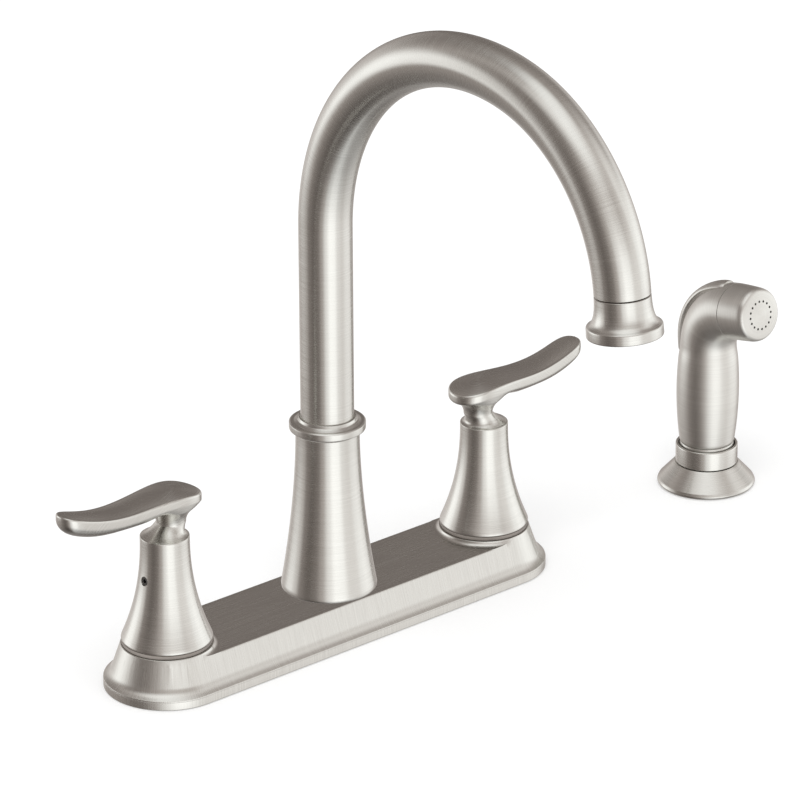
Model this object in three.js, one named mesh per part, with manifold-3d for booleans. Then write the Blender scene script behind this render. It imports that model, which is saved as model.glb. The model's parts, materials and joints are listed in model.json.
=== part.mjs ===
// Two-handle kitchen faucet with a high-arc swivel spout on a deck plate, and a hand spray beside it.
// Millimetres, +Z up. The origin lies on the sink deck under the spout; +X runs from the hot handle to
// the cold one and on to the spray, and -Y points over the sink bowl.
import * as THREE from "three";
import { mergeVertices } from "three/addons/utils/BufferGeometryUtils.js";
import Module from "manifold-3d";

const wasm = await Module();
wasm.setup();

// ---------------------------------------------------------------- driving dimensions, mm
const SEAT_GAP = 0.3; // left between pieces that touch
const HANDLE_SPACING = 203.2; // 8 in between the handle centres

// Deck plate: a hollow casting whose ends are concentric with the handles.
const PLATE_RADIUS = 30.95; // half its width, and the radius of its ends
const PLATE_CLEARANCE = 0.4; // from the sink deck to the lip
const LIP_HEIGHT = 3.7;
const LIP_STEP = 0.45;
const SHOULDER_HEIGHT = 3.9;
const SHOULDER_DEPTH = 2.4;
const SLOPE_FOOT_RADIUS = 26.5;
const SLOPE_FOOT_Z = 9.7;
const PLATE_TOP_RADIUS = 23.1;
const PLATE_TOP_Z = 20.3;
const PLATE_EDGE = 0.7; // rounding of the top edge
const PLATE_WALL = 2.2;
const BOSS_RISE = 2.1; // of the round bosses above the flat top
const BOSS_FILLET = 2.5;
const BOSS_RIM_EDGE = 0.9;
const GASKET_THICKNESS = 3;

// Valves under the handles.
const SHANK_RADIUS = 10.4; // half-inch pipe thread
const SHANK_LENGTH = 58; // below the deck
const SUPPLY_BORE_RADIUS = 6;
const SUPPLY_BORE_DEPTH = 36;
const VALVE_RADIUS = 14;
const VALVE_NECK_RADIUS = 12.5;
const VALVE_NECK_RISE = 7.5; // of the neck above the boss
const CARTRIDGE_RADIUS = 9.8;
const CARTRIDGE_FOOT_Z = 8.3;
const CARTRIDGE_COLLAR_RADIUS = 7.8;
const CARTRIDGE_TOP_Z = 44;
const STEM_RADIUS = 4;
const STEM_FOOT_Z = 31;
const STEM_TOP_Z = 68;
const STEM_FLAT = 3.2; // from the axis to the flat that the set screw bears on
const BONNET_NUT_RADIUS = 15.8; // across corners
const BONNET_NUT_HEIGHT = 7;
const BRIDGE_RADIUS = 5.5;
const BRIDGE_Z = 10.7;

// Fixings under the sink deck.
const DECK_THICKNESS = 10;
const WASHER_THICKNESS = 1.8;
const WASHER_RADIUS = 19;
const NUT_HEIGHT = 9;
const NUT_RADIUS = 17.5; // across corners
const NUT_FLANGE_RADIUS = 18.5;
const NUT_FLANGE_HEIGHT = 2.2;

// Handle: bell, neck and lever in one casting.
const BELL_GAP = 2.1; // between the boss and the bell
const BELL_FOOT_RADIUS = 22.1;
const FOOT_TUCK = 0.4; // from a flare down to its rounded foot
const BELL_EDGE = 1.2;
const BELL_TOP_RADIUS = 11.9;
const BELL_TOP_Z = 77.9;
const BELL_FLARE_POWER = 2.2;
const BELL_WALL = 2.4;
const BELL_CEILING_Z = 47;
const BELL_RIM_EDGE = 1.2;
const NECK_RADIUS = 6.7;
const NECK_Z = 83.9;
const LEVER_ROOT_RADIUS = 11.6; // of the trumpet under the lever's head
const LEVER_ROOT_Z = 92.4;
const LEVER_HEAD_END = -19.4; // from the axis to the round end of the head
const LEVER_HEAD_LENGTH = 13.6;
const LEVER_HEAD_HALF_WIDTH = 12.1;
const LEVER_TIP_HALF_WIDTH = 7.9;
const LEVER_TIP_LENGTH = 9.2;
const LEVER_REACH = 62.2;
const LEVER_TAPER_POWER = 1.4;
const LEVER_HEAD_Z = 100; // top of the lever over the axis
const LEVER_HEAD_DROP = 2.2; // at the head's end
const LEVER_DIP = 1.3;
const LEVER_DIP_AT = 27;
const LEVER_TIP_RISE = 6.2;
const LEVER_BAND = 4; // height of the flat side
const LEVER_CROWN = 0.55; // depth of the underside per half width
const LEVER_HEAD_CROWN = 0.25; // the same under the head, where the neck takes over
const LEVER_CROWN_FULL_AT = 18;
const LEVER_EDGE = 0.6; // rounding of the top edge
const LEVER_DISH = 0.5;
const SET_SCREW_RADIUS = 2.2;
const SET_SCREW_Z = 57.6;
const SET_SCREW_LENGTH = 7;
const SET_SCREW_SOCKET = 1.1; // radius of the hexagon socket
const SEAT_RING_RADIUS = 20.6;
const SEAT_RING_WIDTH = 3.4;

// Spout.
const TUBE_RADIUS = 13;
const TUBE_WALL = 1.2;
const TUBE_FOOT_Z = 62.3;
const RISER_TOP_Z = 208.1;
const ARC_RADIUS = 109.8;
const ARC_ANGLE = 103.5; // degrees
const DROP_RADIUS = 91.5; // of the tighter bend down to the outlet
const SPOUT_ANGLE = 173.8; // degrees turned in all
const SKIRT_FOOT_RADIUS = 23.3;
const SKIRT_TOP_RADIUS = 15.55;
const SKIRT_TOP_Z = 102.4;
const SKIRT_FLARE_POWER = 1.8;
const SKIRT_EDGE = 0.9;
const SKIRT_WALL = 2;
const COLLAR_RADIUS = 18.65;
const COLLAR_TOP_Z = 110.4;
const COLLAR_BAND = 2.4;
const COLLAR_BAND_Z = 104.9;
const HUB_RADIUS = 13;
const HUB_NECK_RADIUS = 11.2;
const HUB_TOP_Z = 98;
const HUB_BORE_RADIUS = 7;
const HUB_LEDGE_Z = 20;
const HUB_NUT_RADIUS = 15.2;
const HUB_NUT_HEIGHT = 5.5;
const SEAL_Z = [80, 89];
const SEAL_WIRE_RADIUS = 0.7;
const DIVERTER_LENGTH = 18;
const NIPPLE_RADIUS = 6.5;
const NIPPLE_BORE_RADIUS = 3.5;
const NIPPLE_LENGTH = 42; // below the deck

// Outlet.
const OUTLET_LENGTH = 19.6;
const OUTLET_RADIUS = 17.6;
const OUTLET_BAND = 4.6;
const OUTLET_STRAIGHT = 3.5;
const OUTLET_BORE_RADIUS = 12.2;
const ADAPTER_LENGTH = 14;
const ADAPTER_CLEARANCE = 0.9; // a straight sleeve in a bent tube
const ADAPTER_WALL = 2;
const AERATOR_HEIGHT = 7;
const AERATOR_WALL = 2.2;
const AERATOR_RECESS = 1.2;
const SCREEN_DEPTH = 1; // below the aerator's rim
const SCREEN_THICKNESS = 2;
const SCREEN_SLOTS = 12;
const SCREEN_SLOT_WIDTH = 1.6;

// Spray holder.
const SPRAY_X = 255.2;
const SPRAY_Y = -1.1;
const FLANGE_RADIUS = 25.3;
const FLANGE_TOP_Z = 12.2;
const FLANGE_EDGE = 1.8;
const FLANGE_LIP = 1; // left outside the gasket's recess
const HOLDER_RADIUS = 16;
const HOLDER_TOP_Z = 22.6;
const HOLDER_MOUTH_RADIUS = 14.5;
const HOLDER_FLOOR_Z = 15.4;
const HOLDER_BORE_RADIUS = 11.2;
const HOLDER_TAIL_RADIUS = 12.3;
const HOLDER_TAIL_LENGTH = 42;
const HOLDER_GASKET = 0.9;

// Hand spray.
const SPRAY_FOOT_Z = 22.5;
const SPRAY_FOOT_RADIUS = 13.8;
const SPRAY_BELLY_RADIUS = 16.05;
const SPRAY_BELLY_Z = 52.7;
const SPRAY_SPIGOT_RADIUS = 12.7;
const ELBOW_Z = 77.6;
const ELBOW_BEND = 24; // radius of the elbow's centre line
const ELBOW_ANGLE = 80.4; // degrees
const HEAD_RADIUS = 14.4;
const CAP_LENGTH = 17;
const CAP_FACE_RADIUS = 11.4;
const CAP_EDGE = 2.6;
const CAP_WALL = 2;
const CAP_DOME = 0.5;
const JET_COUNT = 16;
const JET_CIRCLE_RADIUS = 7.15;
const JET_RADIUS = 0.6;
const COUPLING_RADIUS = 10.4; // across corners
const COUPLING_NECK_RADIUS = 8;
const COUPLING_NECK_TOP_Z = 27;
const COUPLING_NUT_HEIGHT = 9;
const COUPLING_FOOT_Z = -8;
const HOSE_BORE_RADIUS = 3.6;
const VALVE_BORE_RADIUS = 4;
const VALVE_LEDGE_Z = 70;
const SPRING_TURNS = 5;
const SPRING_WIRE = 0.45; // wire radius
const SPRING_LENGTH = 9.6;
const PLUNGER_STEM_RADIUS = 2.1;
const PLUNGER_FLANGE_HEIGHT = 2;
const PLUNGER_TOP_Z = 92.6;
const TRIGGER_HALF_WIDTH = 7.4;
const TRIGGER_END_WIDTH = 0.42; // of the strip's ends, per width of its middle
const TRIGGER_THICKNESS = 3.4;
const TRIGGER_PROUD = 1.1; // of the outer face near the pivot
const TRIGGER_LIFT = 2.4; // more of it at the free end
const TRIGGER_TAIL = 6; // below the start of the elbow
const TRIGGER_END_ANGLE = 74; // degrees round the elbow
const TRIGGER_TRAVEL = 6; // degrees
const PIVOT_ANGLE = 64; // degrees round the elbow
const PIVOT_DEPTH = 4.3; // below the elbow's surface
const PIN_RADIUS = 1.1;
const PIN_LENGTH = 17;
const LUG_WALL = 1.3; // round the pin
const LUG_HALF_WIDTH = 3.4;
const WEB_HALF_DEPTH = 1.6;
const TAB_HALF_WIDTH = 2; // of the tab that pushes the plunger
const TAB_HEIGHT = 3;
const TAB_ROOT_DEPTH = 2.5; // below the elbow's surface
const INSERT_BORE_RADIUS = 3;
const INSERT_STEP = 1.8;
const INSERT_STEP_HEIGHT = 2.4;

// Facets of the round shapes.
const ROUND_LARGE = 32;
const ROUND_MEDIUM = 24;
const ROUND_SMALL = 16;

// ---------------------------------------------------------------- sizes that follow
const HANDLE_X = HANDLE_SPACING / 2;
const LIP_TOP_Z = PLATE_CLEARANCE + LIP_HEIGHT;
const SLOPE = (PLATE_TOP_RADIUS - SLOPE_FOOT_RADIUS) / (PLATE_TOP_Z - SLOPE_FOOT_Z);
const BOSS_TOP_Z = PLATE_TOP_Z + BOSS_RISE;
const BOSS_RADIUS = PLATE_TOP_RADIUS + SLOPE * BOSS_RISE;
const BELL_FOOT_Z = BOSS_TOP_Z + BELL_GAP;
const VALVE_NECK_TOP_Z = BOSS_TOP_Z + VALVE_NECK_RISE;
const CEILING_Z = PLATE_TOP_Z - PLATE_WALL;
const HUB_FOOT_Z = GASKET_THICKNESS + SEAT_GAP;
const HUB_NUT_TOP_Z = PLATE_TOP_Z + SEAT_GAP + HUB_NUT_HEIGHT;
const ELBOW_END = THREE.MathUtils.degToRad(ELBOW_ANGLE);
const PIVOT = polarOnElbow(THREE.MathUtils.degToRad(PIVOT_ANGLE), HEAD_RADIUS - PIVOT_DEPTH);

// ---------------------------------------------------------------- materials
const finish = (color, roughness, metalness) =>
  new THREE.MeshStandardMaterial({ color, roughness, metalness });
const brushedNickel = () => finish(0xb5aca4, 0.34, 1);
const brass = () => finish(0xb9975a, 0.4, 1);
const steel = () => finish(0xa9acb0, 0.35, 1);
const blackRubber = () => finish(0x1d1d1f, 0.85, 0);
const whitePlastic = () => finish(0xe4e2da, 0.5, 0);
const greyPlastic = () => finish(0x6d6c69, 0.55, 0);

// ---------------------------------------------------------------- geometry helpers
const radians = THREE.MathUtils.degToRad;

function signedVolume(position, index) {
  const a = new THREE.Vector3();
  const b = new THREE.Vector3();
  const c = new THREE.Vector3();
  let volume = 0;
  for (let i = 0; i < index.length; i += 3) {
    a.fromArray(position, index[i] * 3);
    b.fromArray(position, index[i + 1] * 3);
    c.fromArray(position, index[i + 2] * 3);
    volume += a.dot(b.cross(c)) / 6;
  }
  return volume;
}

// A closed geometry as a solid that faces outwards.
function solidOf(geometry) {
  const bare = new THREE.BufferGeometry();
  bare.setAttribute("position", geometry.getAttribute("position"));
  bare.setIndex(geometry.index);
  const merged = mergeVertices(bare, 1e-4);
  const vertProperties = merged.getAttribute("position").array;
  const triVerts = new Uint32Array(merged.index.array);
  if (signedVolume(vertProperties, triVerts) < 0) triVerts.reverse();
  return new wasm.Manifold(new wasm.Mesh({ numProp: 3, vertProperties, triVerts }));
}

function geometryOf(solid) {
  const { numProp, numVert, vertProperties, triVerts } = solid.getMesh();
  const position = new Float32Array(numVert * 3);
  for (let i = 0; i < numVert; i++) {
    position.set(vertProperties.subarray(i * numProp, i * numProp + 3), i * 3);
  }
  const geometry = new THREE.BufferGeometry();
  geometry.setAttribute("position", new THREE.BufferAttribute(position, 3));
  geometry.setIndex(new THREE.BufferAttribute(triVerts, 1));
  geometry.computeVertexNormals();
  return geometry;
}

function meshOf(name, solid, material) {
  const mesh = new THREE.Mesh(geometryOf(solid), material);
  mesh.name = name;
  return mesh;
}

const join = (first, ...rest) => rest.reduce((sum, solid) => sum.add(solid), first);
const cut = (first, ...rest) => rest.reduce((left, solid) => left.subtract(solid), first);

// A profile of [radius, z] points turned about the Z axis. It ends on the axis or closes on itself.
function turned(profile, facets = ROUND_MEDIUM) {
  const points = profile.map(([radius, z]) => new THREE.Vector2(radius, z));
  const last = points[points.length - 1];
  if (points[0].x > 0 || last.x > 0) points.push(points[0].clone());
  return solidOf(new THREE.LatheGeometry(points, facets).rotateX(Math.PI / 2));
}

// A plain ring or disc between two heights.
const ring = (inner, outer, low, high, facets) =>
  turned([[inner, low], [outer, low], [outer, high], [inner, high]], facets);
const disc = (radius, low, high, facets) =>
  turned([[0, low], [radius, low], [radius, high], [0, high]], facets);

// A block between two corners.
function block(low, high) {
  const size = high.map((value, i) => value - low[i]);
  const middle = high.map((value, i) => (value + low[i]) / 2);
  return solidOf(new THREE.BoxGeometry(...size).translate(...middle));
}

// A round bar along X or Y.
function barAlong(axis, radius, from, to, [a, b], facets = ROUND_SMALL) {
  const bar = new THREE.CylinderGeometry(radius, radius, to - from, facets);
  if (axis === "x") bar.rotateZ(Math.PI / 2).translate((from + to) / 2, a, b);
  else bar.translate(a, (from + to) / 2, b);
  return solidOf(bar);
}

// A hexagon whose corners lie on the radius.
const hexagon = (radius, low, high) => disc(radius, low, high, 6);

// Points of an arc about [radius, z], angles in degrees.
function arc([centreRadius, centreZ], radius, from, to, steps) {
  return Array.from({ length: steps + 1 }, (_, i) => {
    const angle = radians(from + ((to - from) * i) / steps);
    return [centreRadius + radius * Math.cos(angle), centreZ + radius * Math.sin(angle)];
  });
}

// Radius of a flare at a height: wide at its foot, slim at its top.
function flareRadius(flare, z) {
  const share = Math.max(0, (flare.topZ - z) / (flare.topZ - flare.footZ));
  return flare.topRadius + (flare.footRadius - flare.topRadius) * share ** flare.power;
}

function flarePoints(flare, from, to, steps, offset = 0) {
  return Array.from({ length: steps + 1 }, (_, i) => {
    const z = from + ((to - from) * i) / steps;
    return [flareRadius(flare, z) - offset, z];
  });
}

// Rings of equally many [x, y, z] points, skinned from the first to the last and closed by flat ends.
function loft(rings) {
  const count = rings[0].length;
  const position = rings.flat(2);
  const index = [];
  for (let ringIndex = 0; ringIndex + 1 < rings.length; ringIndex++) {
    for (let i = 0; i < count; i++) {
      const a = ringIndex * count + i;
      const b = ringIndex * count + ((i + 1) % count);
      index.push(a, b, a + count, b, b + count, a + count);
    }
  }
  const centreOf = (points) => points.reduce((sum, p) => sum.map((v, k) => v + p[k] / count), [0, 0, 0]);
  position.push(...centreOf(rings[0]), ...centreOf(rings[rings.length - 1]));
  const firstCentre = rings.length * count;
  const lastStart = (rings.length - 1) * count;
  for (let i = 0; i < count; i++) {
    const next = (i + 1) % count;
    index.push(firstCentre, next, i, firstCentre + 1, lastStart + i, lastStart + next);
  }
  const geometry = new THREE.BufferGeometry();
  geometry.setAttribute("position", new THREE.Float32BufferAttribute(position, 3));
  geometry.setIndex(index);
  return solidOf(geometry);
}

// ---------------------------------------------------------------- deck plate
// The plate's outline at one level: half circles about the handle centres, joined by straights.
function stadium(radius, z) {
  const steps = ROUND_LARGE / 2;
  const end = (centreX, start) =>
    Array.from({ length: steps + 1 }, (_, i) => {
      const angle = start + (Math.PI * i) / steps;
      return [centreX + radius * Math.cos(angle), radius * Math.sin(angle), z];
    });
  return [...end(HANDLE_X, -Math.PI / 2), ...end(-HANDLE_X, Math.PI / 2)];
}

const stadiumSolid = (levels) => loft(levels.map(([radius, z]) => stadium(radius, z)));

// Levels from the lip to the foot of the slope.
function plateSkirtLevels() {
  const shoulderRadius = PLATE_RADIUS - LIP_STEP;
  const shoulder = [0, 30, 60].map((degrees) => [
    shoulderRadius - SHOULDER_DEPTH * (1 - Math.cos(radians(degrees))),
    LIP_TOP_Z + SHOULDER_HEIGHT * Math.sin(radians(degrees)),
  ]);
  return [
    [PLATE_RADIUS - LIP_STEP, PLATE_CLEARANCE],
    [PLATE_RADIUS, PLATE_CLEARANCE + LIP_STEP],
    [PLATE_RADIUS, LIP_TOP_Z - LIP_STEP / 2],
    ...shoulder,
    [(shoulderRadius - SHOULDER_DEPTH + SLOPE_FOOT_RADIUS) / 2, SLOPE_FOOT_Z - SHOULDER_HEIGHT / 4],
    [SLOPE_FOOT_RADIUS, SLOPE_FOOT_Z],
  ];
}

function plateBlank() {
  const slopeEnd = [PLATE_TOP_RADIUS - SLOPE * PLATE_EDGE, PLATE_TOP_Z - PLATE_EDGE];
  const topEdge = [
    [PLATE_TOP_RADIUS - PLATE_EDGE * 0.3, PLATE_TOP_Z - PLATE_EDGE * 0.3],
    [PLATE_TOP_RADIUS - PLATE_EDGE, PLATE_TOP_Z],
  ];
  return stadiumSolid([...plateSkirtLevels(), slopeEnd, ...topEdge]);
}

// A boss under a handle: its outside carries on the plate's slope, its inside is filleted to the top.
function boss(slopeEnvelope) {
  const filletRadius = BOSS_RADIUS + BOSS_FILLET;
  const centre = [filletRadius, PLATE_TOP_Z + BOSS_FILLET];
  const rimDrop = BOSS_FILLET - BOSS_RISE + BOSS_RIM_EDGE / 2;
  const rimAngle = 180 + THREE.MathUtils.radToDeg(Math.asin(rimDrop / BOSS_FILLET));
  const profile = [
    [0, CEILING_Z],
    [filletRadius, CEILING_Z],
    ...arc(centre, BOSS_FILLET, 270, rimAngle, 4),
    [BOSS_RADIUS - BOSS_RIM_EDGE, BOSS_TOP_Z],
    [0, BOSS_TOP_Z],
  ];
  const round = turned(profile, ROUND_LARGE);
  return [-HANDLE_X, HANDLE_X].map((x) => round.translate([x, 0, 0]).intersect(slopeEnvelope));
}

function deckPlate() {
  const slopeEnvelope = stadiumSolid([...plateSkirtLevels(), [BOSS_RADIUS, BOSS_TOP_Z + SEAT_GAP / 10]]);
  const hollow = stadiumSolid([
    [PLATE_RADIUS - PLATE_WALL, -1],
    [PLATE_RADIUS - PLATE_WALL, LIP_TOP_Z],
    [SLOPE_FOOT_RADIUS - PLATE_WALL, SLOPE_FOOT_Z],
    [PLATE_TOP_RADIUS - PLATE_WALL, CEILING_Z],
  ]);
  const valveHole = disc(VALVE_NECK_RADIUS + SEAT_GAP, -1, BOSS_TOP_Z + 1, ROUND_MEDIUM);
  const hubHole = disc(HUB_NECK_RADIUS + SEAT_GAP, -1, PLATE_TOP_Z + 1, ROUND_MEDIUM);
  const holes = [-HANDLE_X, HANDLE_X].map((x) => valveHole.translate([x, 0, 0]));
  return cut(join(plateBlank(), ...boss(slopeEnvelope)), hollow, hubHole, ...holes);
}

function deckGasket() {
  const radius = PLATE_RADIUS - PLATE_WALL - SEAT_GAP;
  const pad = stadiumSolid([[radius, 0], [radius, GASKET_THICKNESS]]);
  const shankHole = disc(SHANK_RADIUS + SEAT_GAP, -1, GASKET_THICKNESS + 1);
  const nippleHole = disc(NIPPLE_RADIUS + SEAT_GAP, -1, GASKET_THICKNESS + 1);
  return cut(pad, nippleHole, ...[-HANDLE_X, HANDLE_X].map((x) => shankHole.translate([x, 0, 0])));
}

// ---------------------------------------------------------------- valves
function valveBody() {
  const cartridgeBore = CARTRIDGE_RADIUS + SEAT_GAP;
  return turned([
    [SUPPLY_BORE_RADIUS, -SHANK_LENGTH],
    [SHANK_RADIUS, -SHANK_LENGTH],
    [SHANK_RADIUS, HUB_FOOT_Z],
    [VALVE_RADIUS, HUB_FOOT_Z],
    [VALVE_RADIUS, CEILING_Z - SEAT_GAP],
    [VALVE_NECK_RADIUS, CEILING_Z - SEAT_GAP],
    [VALVE_NECK_RADIUS, VALVE_NECK_TOP_Z],
    [cartridgeBore, VALVE_NECK_TOP_Z],
    [cartridgeBore, CARTRIDGE_FOOT_Z - SEAT_GAP],
    [0, CARTRIDGE_FOOT_Z - SEAT_GAP],
    [0, SUPPLY_BORE_DEPTH - SHANK_LENGTH],
    [SUPPLY_BORE_RADIUS, SUPPLY_BORE_DEPTH - SHANK_LENGTH],
  ]);
}

function cartridge() {
  const bore = STEM_RADIUS + SEAT_GAP;
  return turned([
    [0, CARTRIDGE_FOOT_Z],
    [CARTRIDGE_RADIUS, CARTRIDGE_FOOT_Z],
    [CARTRIDGE_RADIUS, VALVE_NECK_TOP_Z + BONNET_NUT_HEIGHT / 2],
    [CARTRIDGE_COLLAR_RADIUS, VALVE_NECK_TOP_Z + BONNET_NUT_HEIGHT / 2],
    [CARTRIDGE_COLLAR_RADIUS, CARTRIDGE_TOP_Z],
    [bore, CARTRIDGE_TOP_Z],
    [bore, STEM_FOOT_Z - SEAT_GAP],
    [0, STEM_FOOT_Z - SEAT_GAP],
  ], ROUND_SMALL);
}

function bonnetNut() {
  const low = BOSS_TOP_Z + SEAT_GAP;
  const bore = disc(VALVE_NECK_RADIUS + SEAT_GAP, low - 1, low + BONNET_NUT_HEIGHT + 1);
  return cut(hexagon(BONNET_NUT_RADIUS, low, low + BONNET_NUT_HEIGHT), bore);
}

function seatRing() {
  const low = BOSS_TOP_Z + SEAT_GAP;
  return ring(SEAT_RING_RADIUS - SEAT_RING_WIDTH, SEAT_RING_RADIUS, low, BELL_FOOT_Z - SEAT_GAP);
}

function mountingWasher(boreRadius) {
  return ring(boreRadius, WASHER_RADIUS, -DECK_THICKNESS - WASHER_THICKNESS, -DECK_THICKNESS);
}

function mountingNut(boreRadius) {
  const top = -DECK_THICKNESS - WASHER_THICKNESS - SEAT_GAP;
  const bore = disc(boreRadius, top - NUT_HEIGHT - 1, top + 1);
  const flange = disc(NUT_FLANGE_RADIUS, top - NUT_FLANGE_HEIGHT, top);
  return cut(join(hexagon(NUT_RADIUS, top - NUT_HEIGHT, top - NUT_FLANGE_HEIGHT / 2), flange), bore);
}

function stem() {
  const bar = disc(STEM_RADIUS, STEM_FOOT_Z, STEM_TOP_Z, ROUND_SMALL);
  const flat = block(
    [STEM_FLAT, -STEM_RADIUS - 1, BELL_CEILING_Z + SEAT_GAP],
    [STEM_RADIUS + 1, STEM_RADIUS + 1, STEM_TOP_Z + 1],
  );
  return cut(bar, flat);
}

// ---------------------------------------------------------------- handle, lever along +X
const BELL = {
  footRadius: BELL_FOOT_RADIUS + FOOT_TUCK,
  footZ: BELL_FOOT_Z,
  topRadius: BELL_TOP_RADIUS,
  topZ: BELL_TOP_Z - BELL_RIM_EDGE,
  power: BELL_FLARE_POWER,
};

function bellOutside() {
  const flareStart = BELL_FOOT_Z + BELL_EDGE;
  const neck = new THREE.QuadraticBezierCurve(
    new THREE.Vector2(BELL_TOP_RADIUS - BELL_RIM_EDGE, BELL_TOP_Z),
    new THREE.Vector2(NECK_RADIUS, BELL_TOP_Z + (NECK_Z - BELL_TOP_Z) * 0.2),
    new THREE.Vector2(NECK_RADIUS, NECK_Z),
  );
  const trumpet = new THREE.QuadraticBezierCurve(
    new THREE.Vector2(NECK_RADIUS, NECK_Z),
    new THREE.Vector2(NECK_RADIUS, LEVER_ROOT_Z - (LEVER_ROOT_Z - NECK_Z) * 0.35),
    new THREE.Vector2(LEVER_ROOT_RADIUS, LEVER_ROOT_Z),
  );
  return turned([
    [0, BELL_FOOT_Z],
    [BELL_FOOT_RADIUS - BELL_EDGE, BELL_FOOT_Z],
    [BELL_FOOT_RADIUS - BELL_EDGE * 0.2, BELL_FOOT_Z + BELL_EDGE * 0.35],
    ...flarePoints(BELL, flareStart, BELL.topZ, 8),
    [BELL_TOP_RADIUS - BELL_RIM_EDGE * 0.25, BELL_TOP_Z - BELL_RIM_EDGE * 0.25],
    ...neck.getPoints(4).map((p) => [p.x, p.y]),
    ...trumpet.getPoints(4).slice(1).map((p) => [p.x, p.y]),
    [0, LEVER_ROOT_Z],
  ], ROUND_LARGE);
}

function bellHollow() {
  return turned([
    [0, BELL_FOOT_Z - 1],
    [flareRadius(BELL, BELL_FOOT_Z) - BELL_WALL, BELL_FOOT_Z - 1],
    ...flarePoints(BELL, BELL_FOOT_Z, BELL_CEILING_Z, 3, BELL_WALL),
    [0, BELL_CEILING_Z],
  ]);
}

function leverHalfWidth(x) {
  const headCentre = LEVER_HEAD_END + LEVER_HEAD_LENGTH;
  const tipCentre = LEVER_REACH - LEVER_TIP_LENGTH;
  const share = THREE.MathUtils.clamp((tipCentre - x) / (tipCentre - headCentre), 0, 1);
  const taper = share ** LEVER_TAPER_POWER;
  const width = THREE.MathUtils.lerp(LEVER_TIP_HALF_WIDTH, LEVER_HEAD_HALF_WIDTH, taper);
  const beyond = Math.max((headCentre - x) / LEVER_HEAD_LENGTH, (x - tipCentre) / LEVER_TIP_LENGTH, 0);
  return width * Math.sqrt(Math.max(0, 1 - beyond * beyond));
}

// The height of the lever's top edge: it rises over the hub, dips and lifts again at the tip.
const leverSpine = new THREE.SplineCurve([
  new THREE.Vector2(LEVER_HEAD_END, LEVER_HEAD_Z - LEVER_HEAD_DROP),
  new THREE.Vector2(0, LEVER_HEAD_Z),
  new THREE.Vector2(LEVER_DIP_AT, LEVER_HEAD_Z - LEVER_DIP),
  new THREE.Vector2((LEVER_DIP_AT + LEVER_REACH) / 2, LEVER_HEAD_Z + LEVER_TIP_RISE * 0.17),
  new THREE.Vector2(LEVER_REACH, LEVER_HEAD_Z + LEVER_TIP_RISE),
]);

function leverTopZ(x) {
  const points = leverSpine.getPoints(80);
  const next = Math.max(1, points.findIndex((p) => p.x >= x));
  const [a, b] = [points[next - 1], points[next]];
  return THREE.MathUtils.lerp(a.y, b.y, (x - a.x) / (b.x - a.x));
}

// One cross-section of the lever: dished top, flat sides and a crowned underside.
function leverSection(x) {
  const half = Math.max(leverHalfWidth(x), 0.05);
  const top = leverTopZ(x);
  const dish = LEVER_DISH * (half / LEVER_HEAD_HALF_WIDTH);
  const upper = [1, 0.93, 0.45, -0.45, -0.93, -1].map((share) => {
    const edge = Math.abs(share) === 1 ? LEVER_EDGE : 0;
    return [x, half * share, top - edge - dish * (1 - share * share)];
  });
  const past = THREE.MathUtils.smoothstep(x, 0, LEVER_CROWN_FULL_AT);
  const crown = half * THREE.MathUtils.lerp(LEVER_HEAD_CROWN, LEVER_CROWN, past);
  const lower = Array.from({ length: 7 }, (_, i) => {
    const angle = (Math.PI * i) / 6;
    return [x, -half * Math.cos(angle), top - LEVER_BAND - crown * Math.sin(angle)];
  });
  return [...upper, ...lower];
}

function lever() {
  const steps = 24;
  const middle = (LEVER_HEAD_END + LEVER_REACH) / 2;
  const reach = (LEVER_REACH - LEVER_HEAD_END) / 2;
  const sections = Array.from({ length: steps + 1 }, (_, i) =>
    leverSection(middle - reach * Math.cos((Math.PI * i) / steps)));
  return loft(sections);
}

function handle() {
  const socket = disc(STEM_RADIUS + SEAT_GAP, BELL_CEILING_Z - 1, STEM_TOP_Z + SEAT_GAP, ROUND_SMALL);
  const screwHole = barAlong("x", SET_SCREW_RADIUS + SEAT_GAP, 0, BELL_FOOT_RADIUS, [0, SET_SCREW_Z]);
  return cut(join(bellOutside(), lever()), bellHollow(), socket, screwHole);
}

function setScrew() {
  const from = STEM_FLAT + SEAT_GAP;
  const to = from + SET_SCREW_LENGTH;
  const body = barAlong("x", SET_SCREW_RADIUS, from, to, [0, SET_SCREW_Z]);
  return cut(body, barAlong("x", SET_SCREW_SOCKET, to - SET_SCREW_LENGTH / 3, to + 1, [0, SET_SCREW_Z], 6));
}

// ---------------------------------------------------------------- spout
// A point of the spout's bent part, as [y, z], at an angle turned from the riser and a distance out
// from the centre line: a wide arc, then a tighter bend down to the outlet.
function spoutPoint(turn, offset) {
  const wide = Math.min(turn, radians(ARC_ANGLE));
  const y = ARC_RADIUS * (Math.cos(wide) - 1) + DROP_RADIUS * (Math.cos(turn) - Math.cos(wide));
  const z = ARC_RADIUS * Math.sin(wide) + DROP_RADIUS * (Math.sin(turn) - Math.sin(wide));
  return [y + offset * Math.cos(turn), RISER_TOP_Z + z + offset * Math.sin(turn)];
}

function spoutRod(radius, facets) {
  const steps = 22;
  const ringAt = (turn) =>
    Array.from({ length: facets }, (_, i) => {
      const angle = (2 * Math.PI * i) / facets;
      return [radius * Math.cos(angle), ...spoutPoint(turn, radius * Math.sin(angle))];
    });
  const foot = ringAt(0).map(([x, y]) => [x, y, TUBE_FOOT_Z]);
  const bend = Array.from({ length: steps + 1 }, (_, i) => ringAt((radians(SPOUT_ANGLE) * i) / steps));
  return loft([foot, ...bend]);
}

function spoutTube() {
  return cut(spoutRod(TUBE_RADIUS, ROUND_LARGE), spoutRod(TUBE_RADIUS - TUBE_WALL, ROUND_SMALL));
}

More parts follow.
